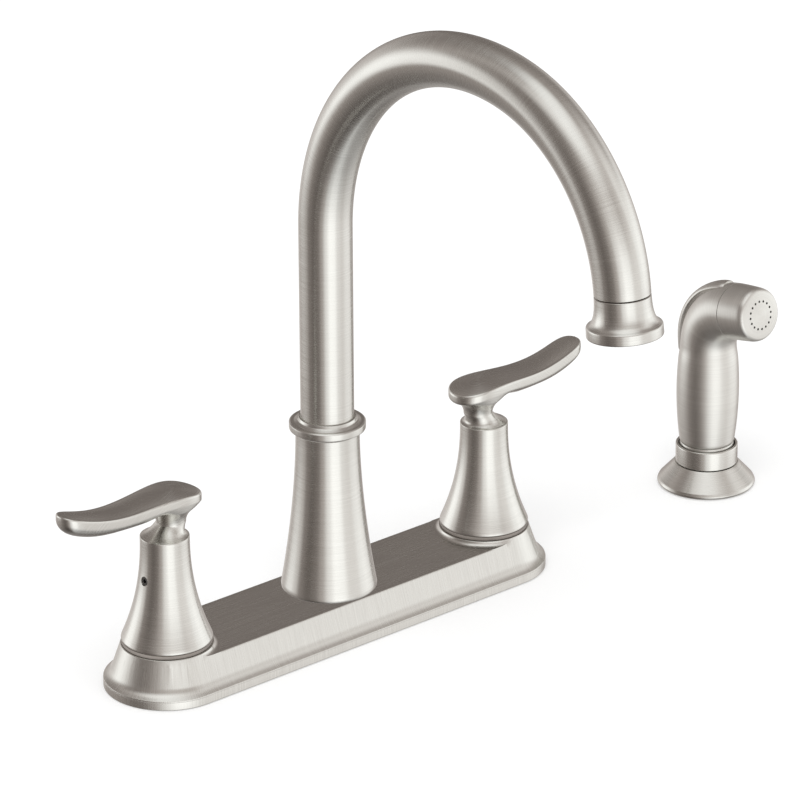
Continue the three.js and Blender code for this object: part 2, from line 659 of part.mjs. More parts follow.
const SKIRT = {
  footRadius: SKIRT_FOOT_RADIUS + FOOT_TUCK,
  footZ: PLATE_TOP_Z + SEAT_GAP,
  topRadius: SKIRT_TOP_RADIUS,
  topZ: SKIRT_TOP_Z,
  power: SKIRT_FLARE_POWER,
};

function spoutSkirt() {
  const low = SKIRT.footZ;
  const bore = TUBE_RADIUS + SEAT_GAP * 1.5;
  const inside = flarePoints(SKIRT, SKIRT_TOP_Z, low, 4, SKIRT_WALL);
  return turned([
    [SKIRT_FOOT_RADIUS - SKIRT_EDGE, low],
    [SKIRT_FOOT_RADIUS, low + SKIRT_EDGE * 0.5],
    ...flarePoints(SKIRT, low + SKIRT_EDGE, SKIRT_TOP_Z, 9),
    ...inside.map(([radius, z]) => [Math.max(radius, bore), z]),
  ], ROUND_LARGE);
}

// The bead that closes the skirt round the tube: a short band between two coves.
function spoutCollar() {
  const low = SKIRT_TOP_Z + SEAT_GAP;
  const bandTop = COLLAR_BAND_Z + COLLAR_BAND;
  const cove = new THREE.QuadraticBezierCurve(
    new THREE.Vector2(COLLAR_RADIUS - 0.9, bandTop + 0.7),
    new THREE.Vector2(TUBE_RADIUS + 1.6, bandTop + 1.1),
    new THREE.Vector2(TUBE_RADIUS + 0.9, COLLAR_TOP_Z),
  );
  const bore = TUBE_RADIUS + SEAT_GAP;
  return turned([
    [bore, low],
    [SKIRT_TOP_RADIUS + 0.5, low],
    [COLLAR_RADIUS - 1.1, COLLAR_BAND_Z - 1.3],
    [COLLAR_RADIUS - 0.3, COLLAR_BAND_Z - 0.7],
    [COLLAR_RADIUS, COLLAR_BAND_Z],
    [COLLAR_RADIUS, bandTop],
    [COLLAR_RADIUS - 0.3, bandTop + 0.5],
    ...cove.getPoints(4).map((p) => [p.x, p.y]),
    [bore, COLLAR_TOP_Z],
  ], ROUND_LARGE);
}

// The brass hub that feeds the spout, with the diverter in its bore.
function spoutHub() {
  const seat = NIPPLE_RADIUS + SEAT_GAP;
  const grooveDepth = 2 * SEAL_WIRE_RADIUS;
  const grooveHalf = SEAL_WIRE_RADIUS + SEAT_GAP;
  const grooves = SEAL_Z.flatMap((z) => [
    [HUB_NECK_RADIUS, z - grooveHalf],
    [HUB_NECK_RADIUS - grooveDepth, z - grooveHalf],
    [HUB_NECK_RADIUS - grooveDepth, z + grooveHalf],
    [HUB_NECK_RADIUS, z + grooveHalf],
  ]);
  return turned([
    [seat, HUB_FOOT_Z],
    [HUB_RADIUS, HUB_FOOT_Z],
    [HUB_RADIUS, CEILING_Z - SEAT_GAP],
    [HUB_NECK_RADIUS, CEILING_Z - SEAT_GAP],
    ...grooves,
    [HUB_NECK_RADIUS, HUB_TOP_Z],
    [HUB_BORE_RADIUS, HUB_TOP_Z],
    [HUB_BORE_RADIUS, HUB_LEDGE_Z],
    [NIPPLE_BORE_RADIUS, HUB_LEDGE_Z],
    [NIPPLE_BORE_RADIUS, BRIDGE_Z + SEAT_GAP],
    [seat, BRIDGE_Z + SEAT_GAP],
  ], ROUND_SMALL);
}

function seal(z) {
  const middle = HUB_NECK_RADIUS - 2 * SEAL_WIRE_RADIUS + SEAT_GAP + SEAL_WIRE_RADIUS;
  return turned(arc([middle, z], SEAL_WIRE_RADIUS, 0, 300, 5), ROUND_SMALL);
}

function hoseNipple() {
  return ring(NIPPLE_BORE_RADIUS, NIPPLE_RADIUS, -NIPPLE_LENGTH, BRIDGE_Z, ROUND_SMALL);
}

function hubNut() {
  const low = PLATE_TOP_Z + SEAT_GAP;
  const bore = disc(HUB_NECK_RADIUS + SEAT_GAP, low - 1, HUB_NUT_TOP_Z + 1);
  return cut(hexagon(HUB_NUT_RADIUS, low, HUB_NUT_TOP_Z), bore);
}

function supportSleeve() {
  return ring(HUB_NECK_RADIUS + SEAT_GAP, TUBE_RADIUS, HUB_NUT_TOP_Z + SEAT_GAP, TUBE_FOOT_Z - SEAT_GAP);
}

function diverter() {
  const outer = HUB_BORE_RADIUS - SEAT_GAP;
  const low = HUB_LEDGE_Z + SEAT_GAP / 3;
  const waist = outer - 1.6;
  return turned([
    [0, low],
    [outer, low],
    [outer, low + DIVERTER_LENGTH * 0.3],
    [waist, low + DIVERTER_LENGTH * 0.4],
    [waist, low + DIVERTER_LENGTH * 0.7],
    [outer, low + DIVERTER_LENGTH * 0.8],
    [outer, low + DIVERTER_LENGTH],
    [0, low + DIVERTER_LENGTH],
  ], ROUND_SMALL);
}

function bridgeTube(side) {
  const from = HUB_RADIUS + SEAT_GAP;
  const to = HANDLE_X - VALVE_RADIUS - SEAT_GAP;
  const [low, high] = side < 0 ? [-to, -from] : [from, to];
  return barAlong("x", BRIDGE_RADIUS, low, high, [0, BRIDGE_Z]);
}

// ---------------------------------------------------------------- outlet, along +Z from the tube's end
function outletHousing() {
  const bandStart = OUTLET_LENGTH - OUTLET_BAND;
  const cove = new THREE.QuadraticBezierCurve(
    new THREE.Vector2(TUBE_RADIUS + 0.1, OUTLET_STRAIGHT),
    new THREE.Vector2(TUBE_RADIUS + 0.4, bandStart - 1.6),
    new THREE.Vector2(OUTLET_RADIUS - 0.5, bandStart - 0.5),
  );
  return turned([
    [OUTLET_BORE_RADIUS, SEAT_GAP],
    [TUBE_RADIUS, SEAT_GAP],
    ...cove.getPoints(5).map((p) => [p.x, p.y]),
    [OUTLET_RADIUS, bandStart + 0.3],
    [OUTLET_RADIUS, OUTLET_LENGTH - 1],
    [OUTLET_RADIUS - 0.4, OUTLET_LENGTH - 0.3],
    [OUTLET_RADIUS - 1.2, OUTLET_LENGTH],
    [OUTLET_BORE_RADIUS, OUTLET_LENGTH],
  ], ROUND_LARGE);
}

function tipAdapter() {
  const outer = TUBE_RADIUS - TUBE_WALL - ADAPTER_CLEARANCE;
  return ring(outer - ADAPTER_WALL, outer, -ADAPTER_LENGTH / 2, ADAPTER_LENGTH / 2, ROUND_SMALL);
}

function aeratorBody() {
  const outer = OUTLET_BORE_RADIUS - SEAT_GAP;
  const low = OUTLET_LENGTH - AERATOR_RECESS - AERATOR_HEIGHT;
  return ring(outer - AERATOR_WALL, outer, low, OUTLET_LENGTH - AERATOR_RECESS, ROUND_SMALL);
}

function aeratorScreen() {
  const outer = OUTLET_BORE_RADIUS - AERATOR_WALL - 2 * SEAT_GAP;
  const high = OUTLET_LENGTH - AERATOR_RECESS - SCREEN_DEPTH;
  const low = high - SCREEN_THICKNESS;
  const half = SCREEN_SLOT_WIDTH / 2;
  const slot = block([outer * 0.5, -half, low - 1], [outer * 0.85, half, high + 1]);
  const slots = Array.from({ length: SCREEN_SLOTS }, (_, i) =>
    slot.rotate([0, 0, (360 * i) / SCREEN_SLOTS]));
  return cut(disc(outer, low, high, ROUND_SMALL), ...slots);
}

// ---------------------------------------------------------------- spray holder, about its own axis
function holderFlange() {
  const low = PLATE_CLEARANCE;
  const recess = HOLDER_GASKET + SEAT_GAP;
  const bore = HOLDER_TAIL_RADIUS + SEAT_GAP;
  return turned([
    [FLANGE_RADIUS - FLANGE_EDGE, low],
    [FLANGE_RADIUS - FLANGE_EDGE * 0.25, low + FLANGE_EDGE * 0.2],
    [FLANGE_RADIUS, low + FLANGE_EDGE * 0.8],
    [FLANGE_RADIUS - FLANGE_EDGE * 0.2, low + FLANGE_EDGE * 1.4],
    [FLANGE_RADIUS - FLANGE_EDGE * 0.8, low + FLANGE_EDGE * 2.2],
    [HOLDER_RADIUS + 1.7, FLANGE_TOP_Z - 0.9],
    [HOLDER_RADIUS + 0.5, FLANGE_TOP_Z],
    [bore, FLANGE_TOP_Z],
    [bore, recess],
    [FLANGE_RADIUS - FLANGE_EDGE - FLANGE_LIP, recess],
    [FLANGE_RADIUS - FLANGE_EDGE - FLANGE_LIP, low],
  ], ROUND_LARGE);
}

function holderGasket() {
  const outer = FLANGE_RADIUS - FLANGE_EDGE - FLANGE_LIP - SEAT_GAP;
  return ring(HOLDER_TAIL_RADIUS + SEAT_GAP, outer, 0, HOLDER_GASKET);
}

function holderCup() {
  const low = FLANGE_TOP_Z + SEAT_GAP;
  return turned([
    [HOLDER_BORE_RADIUS, -HOLDER_TAIL_LENGTH],
    [HOLDER_TAIL_RADIUS, -HOLDER_TAIL_LENGTH],
    [HOLDER_TAIL_RADIUS, low],
    [HOLDER_RADIUS, low],
    [HOLDER_RADIUS, HOLDER_TOP_Z - 1],
    [HOLDER_RADIUS - 0.3, HOLDER_TOP_Z - 0.3],
    [HOLDER_RADIUS - 0.9, HOLDER_TOP_Z],
    [HOLDER_MOUTH_RADIUS + 0.1, HOLDER_TOP_Z - 0.3],
    [HOLDER_MOUTH_RADIUS, HOLDER_TOP_Z - 0.9],
    [HOLDER_MOUTH_RADIUS, HOLDER_FLOOR_Z],
    [HOLDER_BORE_RADIUS, HOLDER_FLOOR_Z],
  ], ROUND_LARGE);
}

// ---------------------------------------------------------------- hand spray, about its own axis
// A point beside the elbow, as [y, z], at an angle round the bend and a distance out from its centre line.
function polarOnElbow(angle, offset) {
  const radius = ELBOW_BEND + offset;
  return [radius * Math.cos(angle) - ELBOW_BEND, ELBOW_Z + radius * Math.sin(angle)];
}

function sprayRadius(z) {
  const share = (z - SPRAY_BELLY_Z) / (SPRAY_BELLY_Z - SPRAY_FOOT_Z);
  return SPRAY_BELLY_RADIUS - (SPRAY_BELLY_RADIUS - SPRAY_FOOT_RADIUS) * share * share;
}

// A circle square to the elbow's centre line at an angle round the bend, shifted on along it.
function elbowRing(angle, radius, along = 0) {
  return Array.from({ length: ROUND_MEDIUM }, (_, i) => {
    const turn = (2 * Math.PI * i) / ROUND_MEDIUM;
    const [y, z] = polarOnElbow(angle, radius * Math.sin(turn));
    return [radius * Math.cos(turn), y - along * Math.sin(angle), z + along * Math.cos(angle)];
  });
}

const levelRing = (radius, z) => elbowRing(0, radius, z - ELBOW_Z);

// The trigger is a strip along the back of the elbow, from its free end to past its pivot.
const STRIP_RADIUS = ELBOW_BEND + HEAD_RADIUS;
const STRIP_LENGTH = TRIGGER_TAIL + radians(TRIGGER_END_ANGLE) * STRIP_RADIUS;

function triggerHalfWidth(way) {
  const share = THREE.MathUtils.clamp(way / STRIP_LENGTH, 0, 1);
  const bow = Math.sin(Math.PI * (0.06 + 0.86 * share)) ** 0.6;
  return TRIGGER_HALF_WIDTH * THREE.MathUtils.lerp(TRIGGER_END_WIDTH, 1, bow);
}

// The strip, grown by a clearance and by how far its free end slides down when it is pressed.
function triggerStrip(outward, inward, clearance = 0, slide = 0) {
  const steps = 10;
  const rings = Array.from({ length: steps + 1 }, (_, i) => {
    const way = THREE.MathUtils.lerp(-clearance - slide, STRIP_LENGTH + clearance, i / steps);
    const share = THREE.MathUtils.clamp(way / STRIP_LENGTH, 0, 1);
    const angle = Math.max(0, way - TRIGGER_TAIL) / STRIP_RADIUS;
    const below = Math.min(0, way - TRIGGER_TAIL);
    const half = clearance + Math.max(triggerHalfWidth(way), triggerHalfWidth(way + slide));
    const outer = HEAD_RADIUS + outward(share);
    const inner = HEAD_RADIUS - inward(share);
    const crown = (side) => outer - 2 * (half / HEAD_RADIUS) * side * side;
    const section = [1, 0.6, 0, -0.6, -1].map((side) => [half * side, crown(side)]);
    section.push([-half, inner], [half, inner]);
    return section.map(([x, offset]) => {
      const [y, z] = polarOnElbow(angle, offset);
      return [x, y, z + below];
    });
  });
  return loft(rings);
}

const triggerOuter = (share) => TRIGGER_PROUD + TRIGGER_LIFT * (1 - share) ** 1.5;
const triggerInner = (share) => TRIGGER_THICKNESS - triggerOuter(share);

function trigger() {
  const strip = triggerStrip(triggerOuter, triggerInner);
  const [pivotY, pivotZ] = PIVOT;
  const lug = barAlong("x", PIN_RADIUS + LUG_WALL, -LUG_HALF_WIDTH, LUG_HALF_WIDTH, PIVOT);
  const web = block(
    [-LUG_HALF_WIDTH, pivotY - WEB_HALF_DEPTH, pivotZ],
    [LUG_HALF_WIDTH, pivotY + WEB_HALF_DEPTH, pivotZ + PIVOT_DEPTH - 2 * SEAT_GAP],
  );
  const tabZ = PLUNGER_TOP_Z + SEAT_GAP;
  const [reachY] = polarOnElbow(Math.asin((tabZ + TAB_HEIGHT - ELBOW_Z) / STRIP_RADIUS), 0);
  const tab = block(
    [-TAB_HALF_WIDTH, -PLUNGER_STEM_RADIUS, tabZ],
    [TAB_HALF_WIDTH, reachY + HEAD_RADIUS - TAB_ROOT_DEPTH, tabZ + TAB_HEIGHT],
  );
  const pinHole = barAlong("x", PIN_RADIUS + SEAT_GAP, -PIN_LENGTH, PIN_LENGTH, PIVOT, 12);
  return cut(join(strip, lug, web, tab), pinHole);
}

// The room that the trigger needs in the body, at rest and pressed.
function triggerRoom() {
  const travel = radians(TRIGGER_TRAVEL);
  const [pivotY, pivotZ] = PIVOT;
  const reach = pivotZ - (ELBOW_Z - TRIGGER_TAIL);
  const slide = travel * (HEAD_RADIUS + triggerOuter(0) - pivotY);
  const depth = (share) => triggerInner(share) + 2 * SEAT_GAP + travel * reach * (1 - share);
  const pocket = triggerStrip(() => HEAD_RADIUS / 2, depth, 2 * SEAT_GAP, slide);
  const lugHalf = LUG_HALF_WIDTH + SEAT_GAP;
  const lugRoom = barAlong("x", PIN_RADIUS + LUG_WALL + SEAT_GAP, -lugHalf, lugHalf, PIVOT);
  const webHalf = WEB_HALF_DEPTH + SEAT_GAP + travel * PIVOT_DEPTH;
  const webRoom = block(
    [-lugHalf, pivotY - webHalf, pivotZ],
    [lugHalf, pivotY + webHalf, pivotZ + PIVOT_DEPTH],
  );
  const tabSwing = travel * (pivotZ - PLUNGER_TOP_Z);
  const tabDrop = travel * (HEAD_RADIUS / 2 - pivotY);
  const tabRoom = block(
    [-TAB_HALF_WIDTH - SEAT_GAP, -PLUNGER_STEM_RADIUS - tabSwing - SEAT_GAP, PLUNGER_TOP_Z - tabDrop],
    [TAB_HALF_WIDTH + SEAT_GAP, HEAD_RADIUS, PLUNGER_TOP_Z + TAB_HEIGHT + 2 * SEAT_GAP],
  );
  return [pocket, lugRoom, webRoom, tabRoom];
}

function sprayBody() {
  const steps = 7;
  const barrel = Array.from({ length: steps + 1 }, (_, i) => {
    const z = THREE.MathUtils.lerp(SPRAY_FOOT_Z, ELBOW_Z, i / steps);
    return levelRing(sprayRadius(z), z);
  });
  const bend = Array.from({ length: steps }, (_, i) =>
    elbowRing((ELBOW_END * (i + 1)) / steps, HEAD_RADIUS));
  const neckRadius = HEAD_RADIUS - CAP_WALL - SEAT_GAP;
  const spigot = [
    levelRing(SPRAY_SPIGOT_RADIUS, HOLDER_FLOOR_Z + SEAT_GAP),
    levelRing(SPRAY_SPIGOT_RADIUS, SPRAY_FOOT_Z - 1),
    levelRing(SPRAY_FOOT_RADIUS - FOOT_TUCK, SPRAY_FOOT_Z - 0.6),
  ];
  const neck = [elbowRing(ELBOW_END, neckRadius), elbowRing(ELBOW_END, neckRadius, CAP_LENGTH / 3)];
  const outside = loft([...spigot, ...barrel, ...bend, ...neck]);
  const socketTop = COUPLING_NECK_TOP_Z + SEAT_GAP;
  const socket = disc(COUPLING_NECK_RADIUS + SEAT_GAP, HOLDER_FLOOR_Z - 1, socketTop, ROUND_SMALL);
  const waterWay = disc(VALVE_BORE_RADIUS - 1, COUPLING_NECK_TOP_Z - 1, VALVE_LEDGE_Z + 1, ROUND_SMALL);
  const valveBore = disc(VALVE_BORE_RADIUS, VALVE_LEDGE_Z, PLUNGER_TOP_Z, ROUND_SMALL);
  const pinEnd = PIN_LENGTH / 2 + SEAT_GAP / 3;
  const pinBore = barAlong("x", PIN_RADIUS + SEAT_GAP / 3, -pinEnd, pinEnd, PIVOT, 12);
  return cut(outside, socket, waterWay, valveBore, pinBore, ...triggerRoom());
}

function hoseCoupling() {
  const nutTop = HOLDER_FLOOR_Z - SEAT_GAP;
  const nut = hexagon(COUPLING_RADIUS, nutTop - COUPLING_NUT_HEIGHT, nutTop);
  const tail = disc(COUPLING_NECK_RADIUS - 1, COUPLING_FOOT_Z, nutTop - 1, ROUND_SMALL);
  const neck = disc(COUPLING_NECK_RADIUS, nutTop - 1, COUPLING_NECK_TOP_Z, ROUND_SMALL);
  const bore = disc(HOSE_BORE_RADIUS, COUPLING_FOOT_Z - 1, COUPLING_NECK_TOP_Z + 1, ROUND_SMALL);
  return cut(join(nut, tail, neck), bore);
}

function plunger() {
  const flangeLow = VALVE_LEDGE_Z + SPRING_LENGTH + 2 * SEAT_GAP;
  const flangeRadius = VALVE_BORE_RADIUS - SEAT_GAP;
  return turned([
    [0, flangeLow],
    [flangeRadius, flangeLow],
    [flangeRadius, flangeLow + PLUNGER_FLANGE_HEIGHT],
    [PLUNGER_STEM_RADIUS, flangeLow + PLUNGER_FLANGE_HEIGHT],
    [PLUNGER_STEM_RADIUS, PLUNGER_TOP_Z],
    [0, PLUNGER_TOP_Z],
  ], ROUND_SMALL);
}

class Helix extends THREE.Curve {
  constructor(radius, pitch, turns) {
    super();
    Object.assign(this, { radius, pitch, turns });
  }

  getPoint(t, target = new THREE.Vector3()) {
    const angle = 2 * Math.PI * this.turns * t;
    const [x, y] = [this.radius * Math.cos(angle), this.radius * Math.sin(angle)];
    return target.set(x, y, this.pitch * this.turns * t);
  }
}

function valveSpring() {
  const rise = SPRING_LENGTH - 2 * SPRING_WIRE;
  const helix = new Helix(VALVE_BORE_RADIUS - SEAT_GAP - SPRING_WIRE, rise / SPRING_TURNS, SPRING_TURNS);
  const wire = new THREE.Shape().absarc(0, 0, SPRING_WIRE, 0, 2 * Math.PI);
  const options = { steps: SPRING_TURNS * 8, curveSegments: 3, extrudePath: helix, bevelEnabled: false };
  const coil = solidOf(new THREE.ExtrudeGeometry(wire, options));
  return coil.translate([0, 0, VALVE_LEDGE_Z + SEAT_GAP + SPRING_WIRE]);
}

// The cap, its axis along +Z from the seam to the face.
function nozzleCap() {
  const inner = HEAD_RADIUS - CAP_WALL;
  const seam = SEAT_GAP;
  const outside = turned([
    [0, seam],
    [HEAD_RADIUS, seam],
    [HEAD_RADIUS, seam + 2],
    [HEAD_RADIUS - 0.2, CAP_LENGTH / 2],
    ...arc([CAP_FACE_RADIUS, CAP_LENGTH - CAP_EDGE], CAP_EDGE, 10, 90, 5),
    [CAP_FACE_RADIUS / 2, CAP_LENGTH + CAP_DOME * 0.75],
    [0, CAP_LENGTH + CAP_DOME],
  ], ROUND_LARGE);
  const hollow = disc(inner, -1, CAP_LENGTH - CAP_WALL - CAP_EDGE / 2, ROUND_MEDIUM);
  const jet = disc(JET_RADIUS, 0, CAP_LENGTH + 2, 6).translate([JET_CIRCLE_RADIUS, 0, 0]);
  const jets = Array.from({ length: JET_COUNT }, (_, i) => jet.rotate([0, 0, (360 * i) / JET_COUNT]));
  return cut(outside, hollow, ...jets);
}

function nozzleInsert() {
  const outer = HEAD_RADIUS - CAP_WALL - SEAT_GAP;
  const low = CAP_LENGTH / 3 + SEAT_GAP;
  const high = CAP_LENGTH - CAP_WALL - CAP_EDGE / 2 - SEAT_GAP;
  return turned([
    [INSERT_BORE_RADIUS, low],
    [outer, low],
    [outer, high - INSERT_STEP_HEIGHT],
    [outer - INSERT_STEP, high - INSERT_STEP_HEIGHT],
    [outer - INSERT_STEP, high],
    [INSERT_BORE_RADIUS, high],
  ], ROUND_SMALL);
}

function pivotPin() {
  return barAlong("x", PIN_RADIUS, -PIN_LENGTH / 2, PIN_LENGTH / 2, PIVOT, 12);
}

// ---------------------------------------------------------------- assembly
// The valve, its fixings and the handle of one side. The lever points away from the spout.
function valveSide(name, side) {
  const group = new THREE.Group();
  group.position.x = side * HANDLE_X;
  group.rotation.z = side < 0 ? Math.PI : 0;
  group.add(
    meshOf(`${name}_valve_body`, valveBody(), brass()),
    meshOf(`${name}_cartridge`, cartridge(), whitePlastic()),
    meshOf(`${name}_bonnet_nut`, bonnetNut(), brass()),
    meshOf(`${name}_seat_ring`, seatRing(), greyPlastic()),
    meshOf(`${name}_mounting_washer`, mountingWasher(SHANK_RADIUS + SEAT_GAP), steel()),
    meshOf(`${name}_mounting_nut`, mountingNut(SHANK_RADIUS + SEAT_GAP), brass()),
    meshOf(`${name}_stem`, stem(), brass()),
    meshOf(`${name}_handle`, handle(), brushedNickel()),
    meshOf(`${name}_set_screw`, setScrew(), steel()),
  );
  return group;
}

function outlet() {
  const group = new THREE.Group();
  group.position.set(0, ...spoutPoint(radians(SPOUT_ANGLE), 0));
  group.rotation.x = radians(SPOUT_ANGLE);
  group.add(
    meshOf("outlet_housing", outletHousing(), brushedNickel()),
    meshOf("outlet_adapter", tipAdapter(), brass()),
    meshOf("aerator_body", aeratorBody(), whitePlastic()),
    meshOf("aerator_screen", aeratorScreen(), steel()),
  );
  return group;
}

function spoutGroup() {
  const group = new THREE.Group();
  group.add(
    meshOf("spout_tube", spoutTube(), brushedNickel()),
    meshOf("spout_skirt", spoutSkirt(), brushedNickel()),
    meshOf("spout_collar", spoutCollar(), brushedNickel()),
    meshOf("spout_hub", spoutHub(), brass()),
    meshOf("spout_seal_lower", seal(SEAL_Z[0]), blackRubber()),
    meshOf("spout_seal_upper", seal(SEAL_Z[1]), blackRubber()),
    meshOf("hub_nut", hubNut(), brass()),
    meshOf("spout_support_sleeve", supportSleeve(), whitePlastic()),
    meshOf("diverter", diverter(), whitePlastic()),
    meshOf("spray_hose_nipple", hoseNipple(), brass()),
    outlet(),
  );
  return group;
}

function sprayGroup() {
  const group = new THREE.Group();
  group.position.set(SPRAY_X, SPRAY_Y, 0);
  const head = new THREE.Group();
  const [headY, headZ] = polarOnElbow(ELBOW_END, 0);
  head.position.set(0, headY, headZ);
  head.rotation.x = ELBOW_END;
  head.add(
    meshOf("nozzle_cap", nozzleCap(), brushedNickel()),
    meshOf("nozzle_insert", nozzleInsert(), greyPlastic()),
  );
  group.add(
    meshOf("holder_flange", holderFlange(), brushedNickel()),
    meshOf("holder_gasket", holderGasket(), blackRubber()),
    meshOf("holder_cup", holderCup(), brushedNickel()),
    meshOf("holder_washer", mountingWasher(HOLDER_TAIL_RADIUS + SEAT_GAP), steel()),
    meshOf("holder_nut", mountingNut(HOLDER_TAIL_RADIUS + SEAT_GAP), brass()),
    meshOf("hose_coupling", hoseCoupling(), brass()),
    meshOf("spray_body", sprayBody(), brushedNickel()),
    meshOf("trigger", trigger(), brushedNickel()),
    meshOf("trigger_pin", pivotPin(), steel()),
    meshOf("valve_plunger", plunger(), whitePlastic()),
    meshOf("valve_spring", valveSpring(), steel()),
    head,
  );
  return group;
}

const faucet = new THREE.Group();
faucet.name = "side_spray_faucet";
faucet.add(
  meshOf("deck_plate", deckPlate(), brushedNickel()),
  meshOf("deck_gasket", deckGasket(), blackRubber()),
  meshOf("hot_bridge_tube", bridgeTube(-1), brass()),
  meshOf("cold_bridge_tube", bridgeTube(1), brass()),
  valveSide("hot", -1),
  valveSide("cold", 1),
  spoutGroup(),
  sprayGroup(),
);

export default faucet;
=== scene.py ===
"""Looks of a two-handle kitchen faucet with a side spray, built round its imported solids.

Sizes are in millimetres in the faucet's own frame: the origin lies on the sink deck under the spout,
+X runs from the hot handle to the cold one and on to the spray, and -Y points over the sink bowl.
A profile is a list of (radius, height) points. Where its corners are rounded, it is a list of
(radius, height, fillet) corners, which eased() turns into points.
"""

import json
import math

import bmesh
import bpy
import numpy as np
from mathutils import Matrix, Vector


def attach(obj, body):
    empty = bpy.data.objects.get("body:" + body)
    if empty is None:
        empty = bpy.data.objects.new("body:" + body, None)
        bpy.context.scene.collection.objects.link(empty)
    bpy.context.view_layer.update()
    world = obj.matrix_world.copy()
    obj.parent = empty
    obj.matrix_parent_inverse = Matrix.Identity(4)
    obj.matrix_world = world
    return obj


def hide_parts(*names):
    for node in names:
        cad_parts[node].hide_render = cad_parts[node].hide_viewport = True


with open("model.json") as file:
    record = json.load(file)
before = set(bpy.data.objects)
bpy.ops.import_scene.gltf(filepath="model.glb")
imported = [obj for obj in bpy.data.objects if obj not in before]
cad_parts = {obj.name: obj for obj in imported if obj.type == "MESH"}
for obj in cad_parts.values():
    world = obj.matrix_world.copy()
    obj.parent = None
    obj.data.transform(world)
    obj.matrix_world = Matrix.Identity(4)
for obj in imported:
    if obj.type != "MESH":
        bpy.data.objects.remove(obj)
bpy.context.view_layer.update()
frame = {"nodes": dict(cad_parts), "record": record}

MM = 0.001
GAP = 0.3  # running clearance
HANDLE_X = 101.6  # half the centre distance of the handles
SPRAY = (255.2, -1.1)  # where the spray's axis stands
UV_NAME = "brush"
SEAM_ANGLE = math.radians(55)  # where a turned mesh begins
AXIS_RADIUS = 0.02  # stands for a point on the axis
PIECE_CREASE, NODE_CREASE = 35, 30  # an edge sharper than this, in degrees, isn't smoothed


# ---------------------------------------------------------------- mesh helpers
def brush_coordinates(rings, bent):
    """U of each point, which runs across the brush lines, and V round a ring, which runs along them."""
    size = rings.shape[1]
    steps = np.linalg.norm(np.roll(rings, -1, axis=0) - rings, axis=2)
    if bent:
        steps = np.repeat(steps.mean(axis=1, keepdims=True), size, axis=1)
    u = np.vstack([np.zeros(size), np.cumsum(steps, axis=0)])
    girth = np.linalg.norm(np.roll(rings, -1, axis=1) - rings, axis=2).max(axis=0)
    return u, np.concatenate([[0.0], np.cumsum(girth)])


def end_fan(ring, first, tip, turned, u, v):
    """Triangles between a ring, whose points start at index first, and its centre at index tip."""
    reach = np.linalg.norm(ring - ring.mean(axis=0), axis=1)
    faces, uvs = [], []
    for j in range(len(ring)):
        after = (j + 1) % len(ring)
        rim = [(first + j, (u[j], v[j])), (first + after, (u[after], v[j + 1]))]
        if turned:
            rim.reverse()
        faces.append((rim[0][0], rim[1][0], tip))
        uvs += [rim[0][1], rim[1][1], (u[j] + reach[j], (v[j] + v[j + 1]) / 2)]
    return faces, uvs


def new_object(name, verts, faces, uvs):
    """Links an object with this mesh, its faces turned outwards."""
    mesh = bpy.data.meshes.new(name)
    mesh.from_pydata(verts, [], faces)
    layer = mesh.uv_layers.new(name=UV_NAME)
    layer.data.foreach_set("uv", np.asarray(uvs, np.float32).ravel())
    bm = bmesh.new()
    bm.from_mesh(mesh)
    if bm.calc_volume(signed=True) < 0:
        bmesh.ops.reverse_faces(bm, faces=bm.faces)
    bm.to_mesh(mesh)
    bm.free()
    obj = bpy.data.objects.new(name, mesh)
    bpy.context.scene.collection.objects.link(obj)
    return obj


def ring_mesh(name, rings, closed=False, swap_until=0, bent=False):
    """Skins rings of equally many points, with a fan over either end unless the last ring joins the first.

    The brush lines run round the rings, on a bent tube exactly so, and from ring to ring before the row
    swap_until.
    """
    rings = np.asarray(rings, float) * MM
    count, size, _ = rings.shape
    u, v = brush_coordinates(rings, bent)
    verts = [tuple(point) for point in rings.reshape(-1, 3)]
    faces, uvs = [], []
    for i in range(count if closed else count - 1):
        k = (i + 1) % count
        for j in range(size):
            after = (j + 1) % size
            faces.append((i * size + j, i * size + after, k * size + after, k * size + j))
            corners = [
                (u[i][j], v[j]), (u[i][after], v[j + 1]), (u[i + 1][after], v[j + 1]), (u[i + 1][j], v[j]),
            ]
            uvs += [(b, a) if i < swap_until else (a, b) for a, b in corners]
    if not closed:
        for i, turned in ((0, True), (count - 1, False)):
            verts.append(tuple(rings[i].mean(axis=0)))
            fan, fan_uvs = end_fan(rings[i], i * size, len(verts) - 1, turned, u[i], v)
            faces += fan
            uvs += fan_uvs
    return new_object(name, verts, faces, uvs)


def moved(obj, matrix):
    obj.data.transform(matrix)
    return obj


def at(x, y, z=0.0):
    return Matrix.Translation(Vector((x, y, z)) * MM)


def circle(radius, z, angles):
    return np.stack([radius * np.cos(angles), radius * np.sin(angles), np.full(len(angles), z)], axis=1)


def circles(profile, angles):
    return [circle(radius, z, angles) for radius, z in profile]


def even_angles(count):
    return SEAM_ANGLE + np.arange(count) * 2 * math.pi / count


def lathe(name, profile, segments, matrix=None):
    """Turns a profile about Z. One that starts on the axis is capped, and others close on themselves."""
    closed = profile[0][0] > 0
    off_axis = [(max(radius, AXIS_RADIUS), z) for radius, z in profile]
    obj = ring_mesh(name, circles(off_axis, even_angles(segments)), closed)
    return moved(obj, matrix) if matrix else obj


def cylinder(name, radius, low, high, segments, matrix=None):
    return lathe(name, [(0, low), (radius, low), (radius, high), (0, high)], segments, matrix)


def box(name, low, high):
    corners = [(low[0], low[1]), (high[0], low[1]), (high[0], high[1]), (low[0], high[1])]
    return ring_mesh(name, [[(x, y, z) for x, y in corners] for z in (low[2], high[2])])


def bezier(a, b, c, steps):
    a, b, c = (np.array(p, float) for p in (a, b, c))
    return [tuple((1 - t) ** 2 * a + 2 * t * (1 - t) * b + t * t * c) for t in np.linspace(0, 1, steps + 1)]


